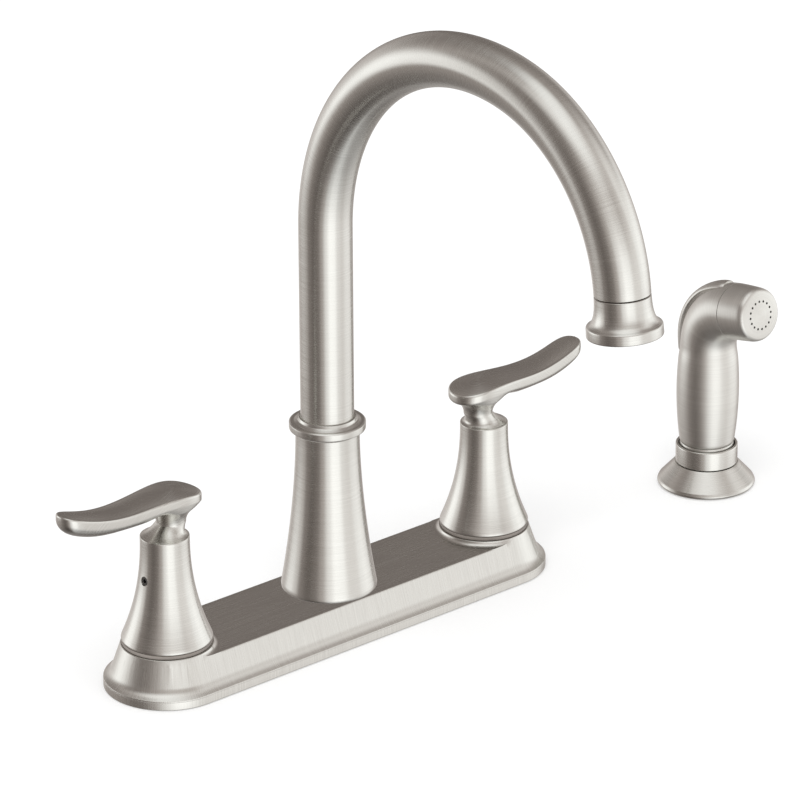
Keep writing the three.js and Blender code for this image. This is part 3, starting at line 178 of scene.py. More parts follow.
def eased(corners, steps):
    """(a, b, fillet) corners as a polyline with its corners rounded."""
    points = []
    for i, (a, b, radius) in enumerate(corners):
        here = np.array((a, b), float)
        if radius <= 0 or i in (0, len(corners) - 1):
            points.append(tuple(here))
            continue
        before = np.array(corners[i - 1][:2]) - here
        after = np.array(corners[i + 1][:2]) - here
        before /= np.linalg.norm(before)
        after /= np.linalg.norm(after)
        half = math.acos(np.clip(before @ after, -1, 1)) / 2
        reach = radius / math.tan(half)
        points += bezier(here + before * reach, here, here + after * reach, steps)
    return points


def smooth_step(share):
    return share * share * (3 - 2 * share)


def flare(shape, start, end, steps, inset=0.0):
    """Points of a curve that is widest at its foot.

    Its shape is (foot height, head height, foot radius, head radius, power).
    """
    low, high, low_radius, high_radius, power = shape
    points = []
    for z in np.linspace(start, end, steps + 1):
        share = max(0.0, (high - z) / (high - low))
        points.append((high_radius + (low_radius - high_radius) * share ** power - inset, z))
    return points


def combined(target, other, operation):
    modifier = target.modifiers.new("cut", "BOOLEAN")
    modifier.operation = operation
    modifier.solver = "MANIFOLD"
    modifier.object = other
    graph = bpy.context.evaluated_depsgraph_get()
    mesh = bpy.data.meshes.new_from_object(target.evaluated_get(graph))
    target.modifiers.remove(modifier)
    target.data = mesh
    bpy.data.objects.remove(other)
    return target


def smoothed(obj, crease):
    obj.data.shade_smooth()
    obj.data.set_sharp_from_angle(angle=math.radians(crease))
    return obj


def piece(obj, body, material, node=None, mirrored=True):
    """Gives a finished mesh its material and its body, and hides the CAD node that it stands for."""
    smoothed(obj, PIECE_CREASE)
    obj.data.materials.clear()
    obj.data.materials.append(material)
    obj.visible_glossy = mirrored  # the brushing is too rough to mirror the big pieces clearly
    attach(obj, body)
    if node:
        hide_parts(node)
    return obj


# ---------------------------------------------------------------- shader helpers
def new_material(name):
    material = bpy.data.materials.new(name)
    material.use_nodes = True
    tree = material.node_tree
    return material, tree, tree.nodes["Principled BSDF"]


def add_node(tree, kind, inputs=None, **settings):
    node = tree.nodes.new(kind)
    for key, value in settings.items():
        setattr(node, key, value)
    for key, value in (inputs or {}).items():
        if isinstance(value, bpy.types.NodeSocket):
            tree.links.new(value, node.inputs[key])
        else:
            node.inputs[key].default_value = value
    return node


def math_node(tree, operation, a, b):
    return add_node(tree, "ShaderNodeMath", {0: a, 1: b}, operation=operation).outputs[0]


def remap(tree, value, low, high, to_low, to_high):
    inputs = {"Value": value, "From Min": low, "From Max": high, "To Min": to_low, "To Max": to_high}
    return add_node(tree, "ShaderNodeMapRange", inputs, clamp=True).outputs[0]


def scaled(tree, vector, scale):
    return add_node(tree, "ShaderNodeVectorMath", {0: vector, "Scale": scale}, operation="SCALE").outputs[0]


def part_along(tree, vector, axis):
    inputs = {0: vector, 1: axis}
    return add_node(tree, "ShaderNodeVectorMath", inputs, operation="DOT_PRODUCT").outputs["Value"]


def blend(tree, share, low, high):
    return add_node(tree, "ShaderNodeMix", {0: share, 6: low, 7: high}, data_type="RGBA").outputs[2]


def object_place(tree):
    return add_node(tree, "ShaderNodeTexCoord").outputs["Object"]


def noise(tree, vector, scale, detail):
    inputs = {"Vector": vector, "Scale": scale, "Detail": detail}
    return add_node(tree, "ShaderNodeTexNoise", inputs).outputs[0]


def streaks(tree, across, scale, length, detail=2.0):
    """Noise drawn out into long lines: fine across the brushing, slow along it."""
    parts = add_node(tree, "ShaderNodeSeparateXYZ", {0: scaled(tree, object_place(tree), length)})
    fine = math_node(tree, "MULTIPLY", across, scale)
    shifted = math_node(tree, "ADD", parts.outputs[1], parts.outputs[2])
    vector = add_node(tree, "ShaderNodeCombineXYZ", {0: fine, 1: parts.outputs[0], 2: shifted}).outputs[0]
    return noise(tree, vector, 1.0, detail)


def paint(tree, shader, tone, pale, deep):
    """The base colour: deep where the tone is 0, pale where it is 1."""
    tree.links.new(blend(tree, tone, (*deep, 1), (*pale, 1)), shader.inputs["Base Color"])


def relief(tree, shader, height, strength, depth):
    bump = add_node(tree, "ShaderNodeBump", {"Height": height, "Strength": strength, "Distance": depth})
    tree.links.new(bump.outputs[0], shader.inputs["Normal"])


def ray_kinds(tree):
    """Whether a ray is mirrored or refracted, and whether it shows the white ground."""
    rays = add_node(tree, "ShaderNodeLightPath").outputs
    mirrored = math_node(tree, "MAXIMUM", rays["Is Glossy Ray"], rays["Is Transmission Ray"])
    return mirrored, math_node(tree, "MAXIMUM", rays["Is Camera Ray"], mirrored)


# ---------------------------------------------------------------- materials
# The brush lines' layers: share, lines per metre across and along the brushing, octaves of detail.
BRUSH_LAYERS = ((0.08, 900.0, 26.0, 2.0), (0.12, 1900.0, 40.0, 2.0), (0.80, 4200.0, 44.0, 1.5))
BRUSH_SPREAD, CLOUD_SPREAD = 0.04, 0.01  # how far the lines and the clouding change the roughness


def brushed_metal(name, pale, deep, roughness, anisotropy):
    """Metal with straight brush lines along V, which draw its gloss out across them."""
    material, tree, shader = new_material(name)
    uv = add_node(tree, "ShaderNodeUVMap", uv_map=UV_NAME).outputs[0]
    across = add_node(tree, "ShaderNodeSeparateXYZ", {0: uv}).outputs[0]
    layers = [
        math_node(tree, "MULTIPLY", streaks(tree, across, scale, length, detail), share)
        for share, scale, length, detail in BRUSH_LAYERS
    ]
    lines = layers[0]
    for layer in layers[1:]:
        lines = math_node(tree, "ADD", lines, layer)
    paint(tree, shader, remap(tree, lines, 0.30, 0.70, 0.0, 1.0), pale, deep)
    shader.inputs["Metallic"].default_value = 1.0
    shader.inputs["Anisotropic"].default_value = anisotropy
    rough_lines = remap(tree, lines, 0.3, 0.7, roughness - BRUSH_SPREAD, roughness + BRUSH_SPREAD)
    clouds = remap(tree, noise(tree, object_place(tree), 35.0, 3.0), 0.35, 0.65, -CLOUD_SPREAD, CLOUD_SPREAD)
    tree.links.new(math_node(tree, "ADD", rough_lines, clouds), shader.inputs["Roughness"])
    relief(tree, shader, lines, 0.03, 0.00006)
    tangent = add_node(tree, "ShaderNodeTangent", direction_type="UV_MAP", uv_map=UV_NAME).outputs[0]
    tree.links.new(tangent, shader.inputs["Tangent"])
    return material


def machined_metal(name, pale, deep, roughness):
    """Turned metal on the hidden fittings: fine rings round Z and a little tarnish."""
    material, tree, shader = new_material(name)
    place = object_place(tree)
    height = add_node(tree, "ShaderNodeSeparateXYZ", {0: place}).outputs[2]
    rings = streaks(tree, height, 3000.0, 20.0)
    stain = noise(tree, place, 90.0, 4.0)
    halves = (math_node(tree, "MULTIPLY", part, 0.5) for part in (rings, stain))
    paint(tree, shader, remap(tree, math_node(tree, "ADD", *halves), 0.38, 0.62, 0.0, 1.0), pale, deep)
    dulled = remap(tree, stain, 0.3, 0.7, roughness - 0.08, roughness + 0.1)
    tree.links.new(dulled, shader.inputs["Roughness"])
    shader.inputs["Metallic"].default_value = 1.0
    relief(tree, shader, rings, 0.2, 0.00005)
    return material


def moulded(name, pale, deep, roughness, texture_scale, depth):
    """Rubber and plastic: a fine moulded texture with slight clouding."""
    material, tree, shader = new_material(name)
    place = object_place(tree)
    grain = noise(tree, place, texture_scale, 4.0)
    paint(tree, shader, remap(tree, noise(tree, place, 60.0, 2.0), 0.35, 0.65, 0.0, 1.0), pale, deep)
    rough = remap(tree, grain, 0.3, 0.7, roughness - 0.07, roughness + 0.07)
    tree.links.new(rough, shader.inputs["Roughness"])
    relief(tree, shader, grain, 0.3, depth)
    return material


NICKEL = brushed_metal("nickel_turned", (0.725, 0.722, 0.685), (0.625, 0.618, 0.585), 0.245, 0.8)
NICKEL_PLATED = brushed_metal("nickel_plated", (0.77, 0.767, 0.728), (0.665, 0.658, 0.625), 0.36, 0.6)
BRASS = machined_metal("brass_turned", (0.80, 0.62, 0.33), (0.62, 0.46, 0.22), 0.32)
STEEL = machined_metal("steel_plain", (0.70, 0.70, 0.71), (0.55, 0.555, 0.57), 0.3)
DARK_STEEL = machined_metal("steel_blackened", (0.16, 0.155, 0.15), (0.10, 0.098, 0.095), 0.45)
# Painted shade: a near-black brass for the outlet adapter, so that the seam between the tube and the outlet
# housing shows as a dark shadow line.
SEAM_SHADE_BRASS = machined_metal("brass_painted_seam_shade", (0.10, 0.08, 0.055), (0.06, 0.05, 0.038), 0.6)
RUBBER = moulded("rubber_black", (0.022, 0.022, 0.024), (0.013, 0.013, 0.014), 0.72, 2500.0, 0.00005)
WHITE = moulded("plastic_white", (0.80, 0.79, 0.75), (0.74, 0.73, 0.69), 0.42, 1500.0, 0.00002)
GREY = moulded("plastic_grey", (0.33, 0.295, 0.265), (0.27, 0.24, 0.215), 0.5, 1800.0, 0.00003)
# Painted shade: the nozzle insert is coloured far darker than the grey slot, so that its nubs in the face's
# holes show as the holes' shade.
HOLE_SHADE_PLASTIC = moulded("plastic_painted_hole_shade", (0.05, 0.047, 0.044), (0.035, 0.033, 0.031), 0.5, 1800.0, 0.00003)
BY_SLOT = {
    "brushed_nickel": NICKEL, "brass": BRASS, "plated_steel": STEEL,
    "black_rubber": RUBBER, "white_plastic": WHITE, "grey_plastic": GREY,
}


def dress_cad_nodes():
    for part in frame["record"]["subparts"]:
        node = frame["nodes"][part["node"]]
        node.data.materials.clear()
        node.data.materials.append(BY_SLOT[part["material_slot"]])
        smoothed(node, NODE_CREASE)
        node.visible_glossy = False
    # Painted shade: the outlet adapter, seen through the seam at the outlet, is coloured near black to show
    # the seam's shadow.
    frame["nodes"]["outlet_adapter"].data.materials[0] = SEAM_SHADE_BRASS


# ---------------------------------------------------------------- deck plate
ARC_STEPS, LINE_STEPS = 72, 24
PLATE_TOP_R, PLATE_TOP_Z, PLATE_EDGE = 23.1, 20.3, 0.9
BOSS_FOOT_Z, BOSS_Z, BOSS_EDGE = 18.2, 22.4, 0.5
COVE_R, COVE_Z, COVE_FILLET = 27.6, 7.2, 8.5
PLATE_FOOT = [
    (30.3, 0.4, 0), (30.95, 0.4, 0.35), (30.95, 4.25, 0.1), (30.82, 4.36, 0.1), (30.92, 4.47, 0.1),
    (30.92, 5.0, 0.4), (COVE_R, COVE_Z, COVE_FILLET),
]
PLATE_HOLLOW = [(28.7, -1), (28.7, 4.1), (24.6, 9.4), (20.9, 18.1)]
PLATE_HOLES = ((-HANDLE_X, 12.8), (0, 11.5), (HANDLE_X, 12.8))


def stadium(radius, z):
    points = []
    for side in (1, -1):
        for angle in np.linspace(-math.pi / 2, math.pi / 2, ARC_STEPS, endpoint=False):
            points.append((side * (HANDLE_X + radius * math.cos(angle)), side * radius * math.sin(angle), z))
        for share in np.linspace(0, 1, LINE_STEPS, endpoint=False):
            points.append((side * HANDLE_X * (1 - 2 * share), side * radius, z))
    return points


def stadiums(profile):
    return [stadium(radius, z) for radius, z in profile]


def slope_radius(z):
    return PLATE_TOP_R + (PLATE_TOP_Z - z) * (COVE_R - PLATE_TOP_R) / (PLATE_TOP_Z - COVE_Z)


def plate_levels(top_z, edge):
    """Radii and heights from the lip, through the cove and up the slope to a rounded top edge."""
    top_radius = slope_radius(top_z)
    return eased([*PLATE_FOOT, (top_radius, top_z, edge), (top_radius - 2.5, top_z, 0)], 10)


def plate_boss(x):
    """The round seat under a handle, cut off at the plate's own slope."""
    levels = plate_levels(BOSS_Z, BOSS_EDGE)
    limit = ring_mesh("limit", stadiums(levels), swap_until=len(levels))
    profile = eased([
        (0, BOSS_FOOT_Z, 0), (27.2, BOSS_FOOT_Z, 0), (27.2, PLATE_TOP_Z, 0), (23.1, PLATE_TOP_Z, 2.6),
        (22.55, BOSS_Z, BOSS_EDGE), (0, BOSS_Z, 0),
    ], 8)
    return combined(lathe("boss", profile, 192, at(x, 0)), limit, "INTERSECT")


def deck_plate():
    side = plate_levels(PLATE_TOP_Z, PLATE_EDGE)
    inwards = [(radius, PLATE_TOP_Z) for radius in np.linspace(20.6, 0.05, 12)[1:]]
    plate = ring_mesh("deck_plate_shell", stadiums(side + inwards), swap_until=len(side) - 1)
    for x in (-HANDLE_X, HANDLE_X):
        plate = combined(plate, plate_boss(x), "UNION")
    plate = combined(plate, ring_mesh("hollow", stadiums(PLATE_HOLLOW)), "DIFFERENCE")
    for x, radius in PLATE_HOLES:
        plate = combined(plate, cylinder("hole", radius, -2, 25, 96, at(x, 0)), "DIFFERENCE")
    return plate


# ---------------------------------------------------------------- handle
BELL = (24.5, 76.7, 22.5, 11.9, 2.2)
BELL_WALL = 2.4
HANDLE_SEGMENTS = 232
SCREW_Z = 57.6
NECK_RADIUS, NECK_Z, NECK_X = 7.2, 84.0, -4.0
LEVER_START, LEVER_END = -19.4, 62.2
LEVER_BAND, LEVER_EDGE, LEVER_DOME = 4.0, 1.5, 0.8
# The underside's crown, as a share of the half width: at the head, along the lever and added at the tip.
LEVER_HEAD_CROWN, LEVER_CROWN, LEVER_TIP_CROWN = 0.25, 0.55, 0.2
LEVER_CROWN_FULL_AT, LEVER_TIP_FROM, LEVER_TIP_TO = 18.0, 26.0, 50.0
CROWN_POWER, CROWN_ALONE_FROM = 0.62, 0.72
# The trumpet rises this far at this distance from the neck. The softness of its join to the crown follows.
TRUMPET_RISE, TRUMPET_REACH, JOIN_SOFTNESS = 10.0, 6.5, 1.1
NECK_LEAN_POWER = 1.4
# Polynomials over the lever's length, from -1 at the head to 1 at the tip.
SPINE = (-2.904, -2.817, 9.064, 5.966, -1.746, 98.856)
WIDTH = (0.1556, 0.1227, -0.1379, 0.1617, -0.0676, 0.2358)
UNDERSIDE_SHARES = np.concatenate([[0.003, 0.012, 0.03], np.linspace(0.06, 0.94, 20), [0.97, 0.985, 0.995]])
TOP_SHARES = np.concatenate([[0.985], np.linspace(0.95, 0.1, 16), [0.04, 0.004]])


def along(x):
    return (2 * x - LEVER_START - LEVER_END) / (LEVER_END - LEVER_START)


def spine_z(x):
    return np.polyval(SPINE, along(np.clip(x, LEVER_START, LEVER_END)))


def half_width(x):
    inside = np.maximum((x - LEVER_START) * (LEVER_END - x), 0)
    return np.sqrt(inside) * np.polyval(WIDTH, along(x))


def crown_z(plan):
    """Height of the lever's crowned underside."""
    x, y = plan[:, 0], plan[:, 1]
    width = np.maximum(half_width(x), 0.01)
    past_head = np.clip(x / LEVER_CROWN_FULL_AT, 0, 1)
    past_middle = np.clip((x - LEVER_TIP_FROM) / (LEVER_TIP_TO - LEVER_TIP_FROM), 0, 1)
    factor = LEVER_HEAD_CROWN + (LEVER_CROWN - LEVER_HEAD_CROWN) * smooth_step(past_head)
    factor = factor + LEVER_TIP_CROWN * smooth_step(past_middle)
    depth = factor * width * np.maximum(0, 1 - (y / width) ** 2) ** CROWN_POWER
    return spine_z(x) - LEVER_BAND - depth


def underside_z(plan, radius, share):
    """Height of the trumpet that widens out of the neck and runs softly into the crowned underside."""
    trumpet = NECK_Z + TRUMPET_RISE * np.sqrt((radius - NECK_RADIUS) / TRUMPET_REACH)
    crown = crown_z(plan)
    soft = -JOIN_SOFTNESS * np.log(np.exp(-trumpet / JOIN_SOFTNESS) + np.exp(-crown / JOIN_SOFTNESS))
    edge = max(0.0, (share - CROWN_ALONE_FROM) / (1 - CROWN_ALONE_FROM)) ** 2
    return soft * (1 - edge) + crown * edge


def top_z(plan):
    """Height of the low-domed top."""
    x, y = plan[:, 0], plan[:, 1]
    width = np.maximum(half_width(x) - LEVER_EDGE + 0.2, 0.01)
    return spine_z(x) + LEVER_DOME * np.maximum(0, 1 - (y / width) ** 2) * (1 - along(x) ** 6)


def lever_outline(count):
    """Points of the lever's plan outline, evenly spaced, as [x, y]."""
    angle = np.linspace(0, math.pi, 600)
    x = (LEVER_START + LEVER_END) / 2 - (LEVER_END - LEVER_START) / 2 * np.cos(angle)
    y = half_width(x)
    loop = np.stack([np.concatenate([x, x[-2:0:-1]]), np.concatenate([-y, y[-2:0:-1]])], axis=1)
    steps = np.linalg.norm(np.roll(loop, -1, axis=0) - loop, axis=1)
    length = np.concatenate([[0], np.cumsum(steps)])
    loop = np.vstack([loop, loop[:1]])
    wanted = np.linspace(0, length[-1], count, endpoint=False)
    return np.stack([np.interp(wanted, length, loop[:, k]) for k in (0, 1)], axis=1)


def lever_rings(outline):
    """Rings from the neck out along the underside, up the side band and in over the top."""
    centre = np.array((NECK_X, 0))
    reach = np.linalg.norm(outline - centre, axis=1)
    unit = (outline - centre) / reach[:, None]
    rings = []

    def add_ring(radius, height):
        plan = centre + unit * radius[:, None]
        rings.append(np.column_stack([plan, height(plan)]))

    for share in UNDERSIDE_SHARES:
        radius = NECK_RADIUS + (reach - NECK_RADIUS) * share
        add_ring(radius, lambda plan: underside_z(plan, radius, share))
    for inset, rise in eased([(0, 0.3 - LEVER_BAND, 0), (0, 0, LEVER_EDGE), (-2.5, 0, 0)], 9)[:-1]:
        add_ring(reach + inset, lambda plan: spine_z(plan[:, 0]) + rise)
    for share in TOP_SHARES:
        add_ring((reach - LEVER_EDGE) * share, top_z)
    return rings


def handle_bell(name):
    """The bell of the casting, up to the rim where the lever's shoulder starts."""
    profile = [(AXIS_RADIUS, 68.3), (4.3, 68.3), (4.3, 47.0)]
    profile += flare(BELL, 47.0, 25.4, 10, inset=BELL_WALL)
    profile += [(19.9, 24.55), (20.5, 24.5), (21.1, 24.5), (21.6, 24.62), (21.95, 24.95), (22.03, 25.4)]
    profile += flare(BELL, 25.9, 76.2, 40)
    profile += eased([(11.9, 76.4, 0), (11.9, 77.9, 0.6), (11.0, 78.35, 0)], 6)[1:]
    bell = ring_mesh(name, circles(profile, even_angles(HANDLE_SEGMENTS)))
    hole = cylinder("hole", 2.35, 0, 20, 48, at(6, 0, SCREW_Z) @ Matrix.Rotation(math.pi / 2, 4, "Y"))
    return combined(bell, hole, "DIFFERENCE")


def handle_lever(name):
    """The rest of the casting: a shoulder that leans into the neck, and the lever on it."""
    outline = lever_outline(HANDLE_SEGMENTS)
    angles = np.arctan2(outline[:, 1], outline[:, 0] - NECK_X)
    rings = [circle(11.0, 78.35, angles)]
    shoulder = bezier((10.85, 78.45), (7.9, 79.9), (NECK_RADIUS, NECK_Z), 16)
    for lean, (radius, z) in zip(np.linspace(0, 1, len(shoulder)) ** NECK_LEAN_POWER, shoulder):
        rings.append(circle(radius, z, angles) + (NECK_X * lean, 0, 0))
    return ring_mesh(name, rings + lever_rings(outline))


def set_screw(name):
    """A headless screw with a hexagon socket, its axis along +X."""
    screw = lathe(name, [(0, 0.4), (1.9, 0.4), (2.15, 0.7), (2.15, 6.2), (1.9, 6.5), (0, 6.5)], 48)
    socket = ring_mesh("socket", circles([(1.15, 3.5), (1.15, 7.5)], even_angles(6)))
    screw = combined(screw, socket, "DIFFERENCE")
    return moved(screw, at(6.2, 0, SCREW_Z) @ Matrix.Rotation(math.pi / 2, 4, "Y"))


def seat_ring(name):
    """The dark ring in the gap under the bell."""
    profile = [(17.2, 22.7, 0), (21.7, 22.6, 0.2), (21.95, 23.4, 0.3), (21.8, 24.35, 0.2), (17.2, 24.2, 0)]
    return lathe(name, eased(profile, 4), 128)


def handles():
    for name, side in (("hot", -1), ("cold", 1)):
        stand = at(side * HANDLE_X, 0)
        place = stand @ Matrix.Rotation(math.pi if side < 0 else 0, 4, "Z")
        body, node = f"{name}_handle_set", f"{name}_handle"
        piece(moved(handle_bell(f"{name}_handle_bell"), place), body, NICKEL, node=node, mirrored=False)
        piece(moved(handle_lever(f"{name}_handle_lever"), place), body, NICKEL, node=node)
        screw = moved(set_screw(f"{name}_set_screw_turned"), place)
        piece(screw, body, DARK_STEEL, f"{name}_set_screw")
        seat = moved(seat_ring(f"{name}_seat_ring_turned"), stand)
        piece(seat, "fixed_assembly", GREY, f"{name}_seat_ring")


# ---------------------------------------------------------------- spout
TUBE_R, TUBE_BORE_R, TUBE_FOOT_Z = 13.0, 11.8, 62.3
RISER_TOP = 208.1
ARC_R, ARC_END = 109.8, math.radians(103.5)
DROP_R, SPOUT_END = 91.5, math.radians(173.8)
SPOUT_SEGMENTS = 112
SKIRT = (20.6, 102.4, 23.75, 15.55, 1.8)
SKIRT_WALL = 2.0


def spout_point(turn, offset):
    """A point of the spout's plane, as (y, z), at an offset outwards from the tube's centre line."""
    wide = min(turn, ARC_END)
    y = ARC_R * (math.cos(wide) - 1) + DROP_R * (math.cos(turn) - math.cos(wide))
    z = ARC_R * math.sin(wide) + DROP_R * (math.sin(turn) - math.sin(wide))
    return y + offset * math.cos(turn), RISER_TOP + z + offset * math.sin(turn)


def spout_ring(turn, radius, drop=0.0):
    points = []
    for angle in even_angles(SPOUT_SEGMENTS):
        y, z = spout_point(turn, radius * math.sin(angle))
        points.append((radius * math.cos(angle), y, z - drop))
    return points


def spout_tube():
    drops = np.linspace(RISER_TOP - TUBE_FOOT_Z, 0, 40, endpoint=False)
    turns = np.linspace(0, SPOUT_END, 150)
    outer, inner = (
        [spout_ring(0, radius, drop) for drop in drops] + [spout_ring(turn, radius) for turn in turns]
        for radius in (TUBE_R, TUBE_BORE_R)
    )
    return ring_mesh("spout_tube_bent", outer + inner[::-1], closed=True, bent=True)


def spout_skirt():
    profile = [(21.5, 20.6), (22.3, 20.6), (22.9, 20.75), (23.25, 21.1), (23.36, 21.6)]
    profile += flare(SKIRT, 22.2, 102.4, 48)
    profile += [(max(radius, 13.5), z) for radius, z in flare(SKIRT, 102.4, 20.9, 16, inset=SKIRT_WALL)]
    return lathe("spout_skirt_turned", profile, 160)


def spout_collar():
    profile = eased([
        (13.3, 102.7, 0), (15.9, 102.7, 0.3), (17.4, 103.55, 0.9), (18.62, 104.3, 0.7), (18.65, 107.5, 0.45),
        (17.9, 108.0, 0.3), (16.4, 107.95, 0.9), (14.4, 108.9, 0.9), (13.9, 110.4, 0.2), (13.3, 110.4, 0),
    ], 5)
    return lathe("spout_collar_turned", profile, 160)


def outlet_housing():
    profile = [(12.2, 0.8), (12.8, 0.8), (13.0, 0.95)] + bezier((13.1, 3.0), (13.3, 12.0), (16.3, 13.8), 14)
    profile += eased([(16.3, 13.8, 0), (17.5, 14.5, 1.2), (17.62, 19.6, 0.8), (12.2, 19.6, 0)], 6)[1:-1]
    profile += [(12.9, 19.6), (12.2, 19.2)]
    place = at(0, *spout_point(SPOUT_END, 0)) @ Matrix.Rotation(SPOUT_END, 4, "X")
    return lathe("outlet_housing_turned", profile, 160, place)


def spout():
    piece(spout_skirt(), "fixed_assembly", NICKEL, node="spout_skirt", mirrored=False)
    piece(spout_collar(), "fixed_assembly", NICKEL, node="spout_collar")
    piece(spout_tube(), "swivel_spout", NICKEL, node="spout_tube", mirrored=False)
    piece(outlet_housing(), "swivel_spout", NICKEL, node="outlet_housing")


# ---------------------------------------------------------------- valve bodies
ROWS_PER_PITCH, FLANK_SLOPE, ROOT_FLAT = 8, 1.6, 0.3  # the form of a thread
SHANK_PITCH, CUP_PITCH = 1.814, 1.6  # half-inch pipe thread, and the holder cup's own


def thread_rings(crest, root, low, high, pitch, angles):
    """Rings of a screw thread: the crest climbs one pitch in a turn."""
    rings = []
    for z in np.arange(low, high, pitch / ROWS_PER_PITCH):
        phase = (z / pitch - angles / (2 * math.pi)) % 1.0
        fade = min(1.0, (z - low) / pitch, (high - z) / pitch)
        depth = (crest - root) * np.clip(FLANK_SLOPE * np.abs(2 * phase - 1) - ROOT_FLAT, 0, 1) * fade
        rings.append(circle(root + depth, z, angles))
    return rings


def valve_body(name, x):
    angles = even_angles(96)
    shank = [(AXIS_RADIUS, -22), (6, -22), (6, -57.7), (6.3, -58), (9.4, -58)]
    upper = [
        (10.4, 1.2), (10.4, 3.3), (14, 3.3), (14, 17.8), (12.5, 17.8), (12.5, 29.6), (12.2, 29.9),
        (10.3, 29.9), (10.1, 29.7), (10.1, 8.0), (AXIS_RADIUS, 8.0),
    ]
    thread = thread_rings(10.4, 9.5, -57.7, 1.0, SHANK_PITCH, angles)
    return moved(ring_mesh(name, circles(shank, angles) + thread + circles(upper, angles)), at(x, 0))


def valve_bodies():
    for name, x in (("hot", -HANDLE_X), ("cold", HANDLE_X)):
        body = valve_body(f"{name}_valve_turned", x)
        piece(body, "fixed_assembly", BRASS, f"{name}_valve_body", mirrored=False)


# ---------------------------------------------------------------- side spray
HEAD_R = 14.4
ELBOW_Z, ELBOW_BEND, ELBOW_END = 77.6, 24.0, math.radians(80.4)
ELBOW_SEGMENTS = 128
BARREL_R, BARREL_WIDEST_Z = 16.05, 52.7
BARREL_NARROWS, BARREL_REACH = 2.25, 30.2  # how much narrower it is that far from its widest place
EASE_Z, EASE_SLOPE = 70.0, 0.085
STRIP_RADIUS = ELBOW_BEND + HEAD_R
STRIP_END = 3.0  # how far the strip's ends are rounded
TRIGGER_HALF_WIDTH = 7.4
TRIGGER_TAIL, TRIGGER_THICKNESS, TRIGGER_TRAVEL = 9.0, 3.4, math.radians(6)
STRIP_LENGTH = TRIGGER_TAIL + math.radians(74) * STRIP_RADIUS
PIVOT_DEPTH, PIN_RADIUS, PLUNGER_TOP = 4.3, 1.1, 92.6
JET_COUNT, JET_CIRCLE_R, JET_R = 16, 7.15, 0.62
JETS = [
    Matrix.Rotation(2 * math.pi * k / JET_COUNT, 4, "Z") @ at(JET_CIRCLE_R, 0) for k in range(JET_COUNT)
]


def elbow_point(angle, offset):
    """A point of the spray's plane, as (y, z), at an offset outwards from the elbow's centre line."""
    radius = ELBOW_BEND + offset
    return radius * math.cos(angle) - ELBOW_BEND, ELBOW_Z + radius * math.sin(angle)


PIVOT = elbow_point(math.radians(64), HEAD_R - PIVOT_DEPTH)
HEAD_PLACE = at(*SPRAY) @ at(0, *elbow_point(ELBOW_END, 0)) @ Matrix.Rotation(ELBOW_END, 4, "X")


def elbow_ring(angle, radius, lift=0.0):
    points = []
    for turn in even_angles(ELBOW_SEGMENTS):
        y, z = elbow_point(angle, radius * math.sin(turn))
        points.append((radius * math.cos(turn), y - lift * math.sin(angle), z + lift * math.cos(angle)))
    return points


def barrel_radius(z):
    """The barrel's swelling, eased into the elbow's radius over its last stretch."""
    swelling = BARREL_R - BARREL_NARROWS * ((min(z, EASE_Z) - BARREL_WIDEST_Z) / BARREL_REACH) ** 2
    share = max(0.0, (z - EASE_Z) / (ELBOW_Z - EASE_Z))
    narrowing = EASE_SLOPE * max(0.0, z - EASE_Z) * (1 - share) ** 2
    return swelling - narrowing + (HEAD_R - swelling) * smooth_step(share)


def trigger_half_width(way):
    share = min(max(way / STRIP_LENGTH, 0), 1)
    return TRIGGER_HALF_WIDTH * (0.42 + 0.58 * math.sin(math.pi * (0.06 + 0.86 * share)) ** 0.6)


def trigger_rise(share):
    return 1.0 + 4.9 * (1 - share) ** 0.75


def trigger_sunk(share):
    return max(TRIGGER_THICKNESS - trigger_rise(share), 0.6)


def strip_section(half, low, top):
    """Outline of a strip with a flat underside and an arched top, as (x, rise)."""
    flank = min(top - 0.8, low + 0.8)
    arch = np.linspace(0, math.pi / 2, 10)
    right = [(0, low), (half * 0.9, low)]
    right += [(half * math.cos(a), flank + (top - flank) * math.sin(a)) for a in arch]
    return right + [(-x, rise) for x, rise in right[::-1][1:-1]]


def strip_rings(outer, inner, clearance=0.0, slide=0.0):
    """Cross-sections of a strip along the back of the elbow, from its free end to past its pivot."""
    rings = []
    for way in np.linspace(-clearance - slide, STRIP_LENGTH + clearance, 60):
        share = min(max(way / STRIP_LENGTH, 0), 1)
        angle, below = max(0.0, way - TRIGGER_TAIL) / STRIP_RADIUS, min(0.0, way - TRIGGER_TAIL)
        half = clearance + max(trigger_half_width(way), trigger_half_width(way + slide))
        if clearance == 0:
            end = min(1.0, (way + 0.4) / STRIP_END, (STRIP_LENGTH - way + 0.4) / STRIP_END)
            half *= 0.55 + 0.45 * math.sqrt(1 - (1 - end) ** 2)
        section = strip_section(half, -inner(share), outer(share))
        ring = [(x, *elbow_point(angle, HEAD_R + rise)) for x, rise in section]
        rings.append([(x, y, z + below) for x, y, z in ring])
    return rings


def cross_bar(name, radius, half_length):
    """A round bar along X on the trigger's pivot."""
    place = at(0, *PIVOT) @ Matrix.Rotation(math.pi / 2, 4, "Y")
    return cylinder(name, radius, -half_length, half_length, 48, place)


def spray_trigger():
    strip = ring_mesh("spray_trigger_strip", strip_rings(trigger_rise, trigger_sunk))
    y, z = PIVOT
    strip = combined(strip, cross_bar("lug", PIN_RADIUS + 1.3, 3.4), "UNION")
    strip = combined(strip, box("web", (-3.4, y - 1.6, z), (3.4, y + 1.6, z + PIVOT_DEPTH - 0.6)), "UNION")
    tab_z = PLUNGER_TOP + 2 * GAP
    reach = elbow_point(math.asin((tab_z + 3 - ELBOW_Z) / STRIP_RADIUS), 0)[0] + HEAD_R - 2.5
    strip = combined(strip, box("tab", (-2, -2.1, tab_z), (2, reach, tab_z + 3)), "UNION")
    strip = combined(strip, cross_bar("pin_hole", PIN_RADIUS + GAP, 12), "DIFFERENCE")
    return moved(strip, at(*SPRAY))


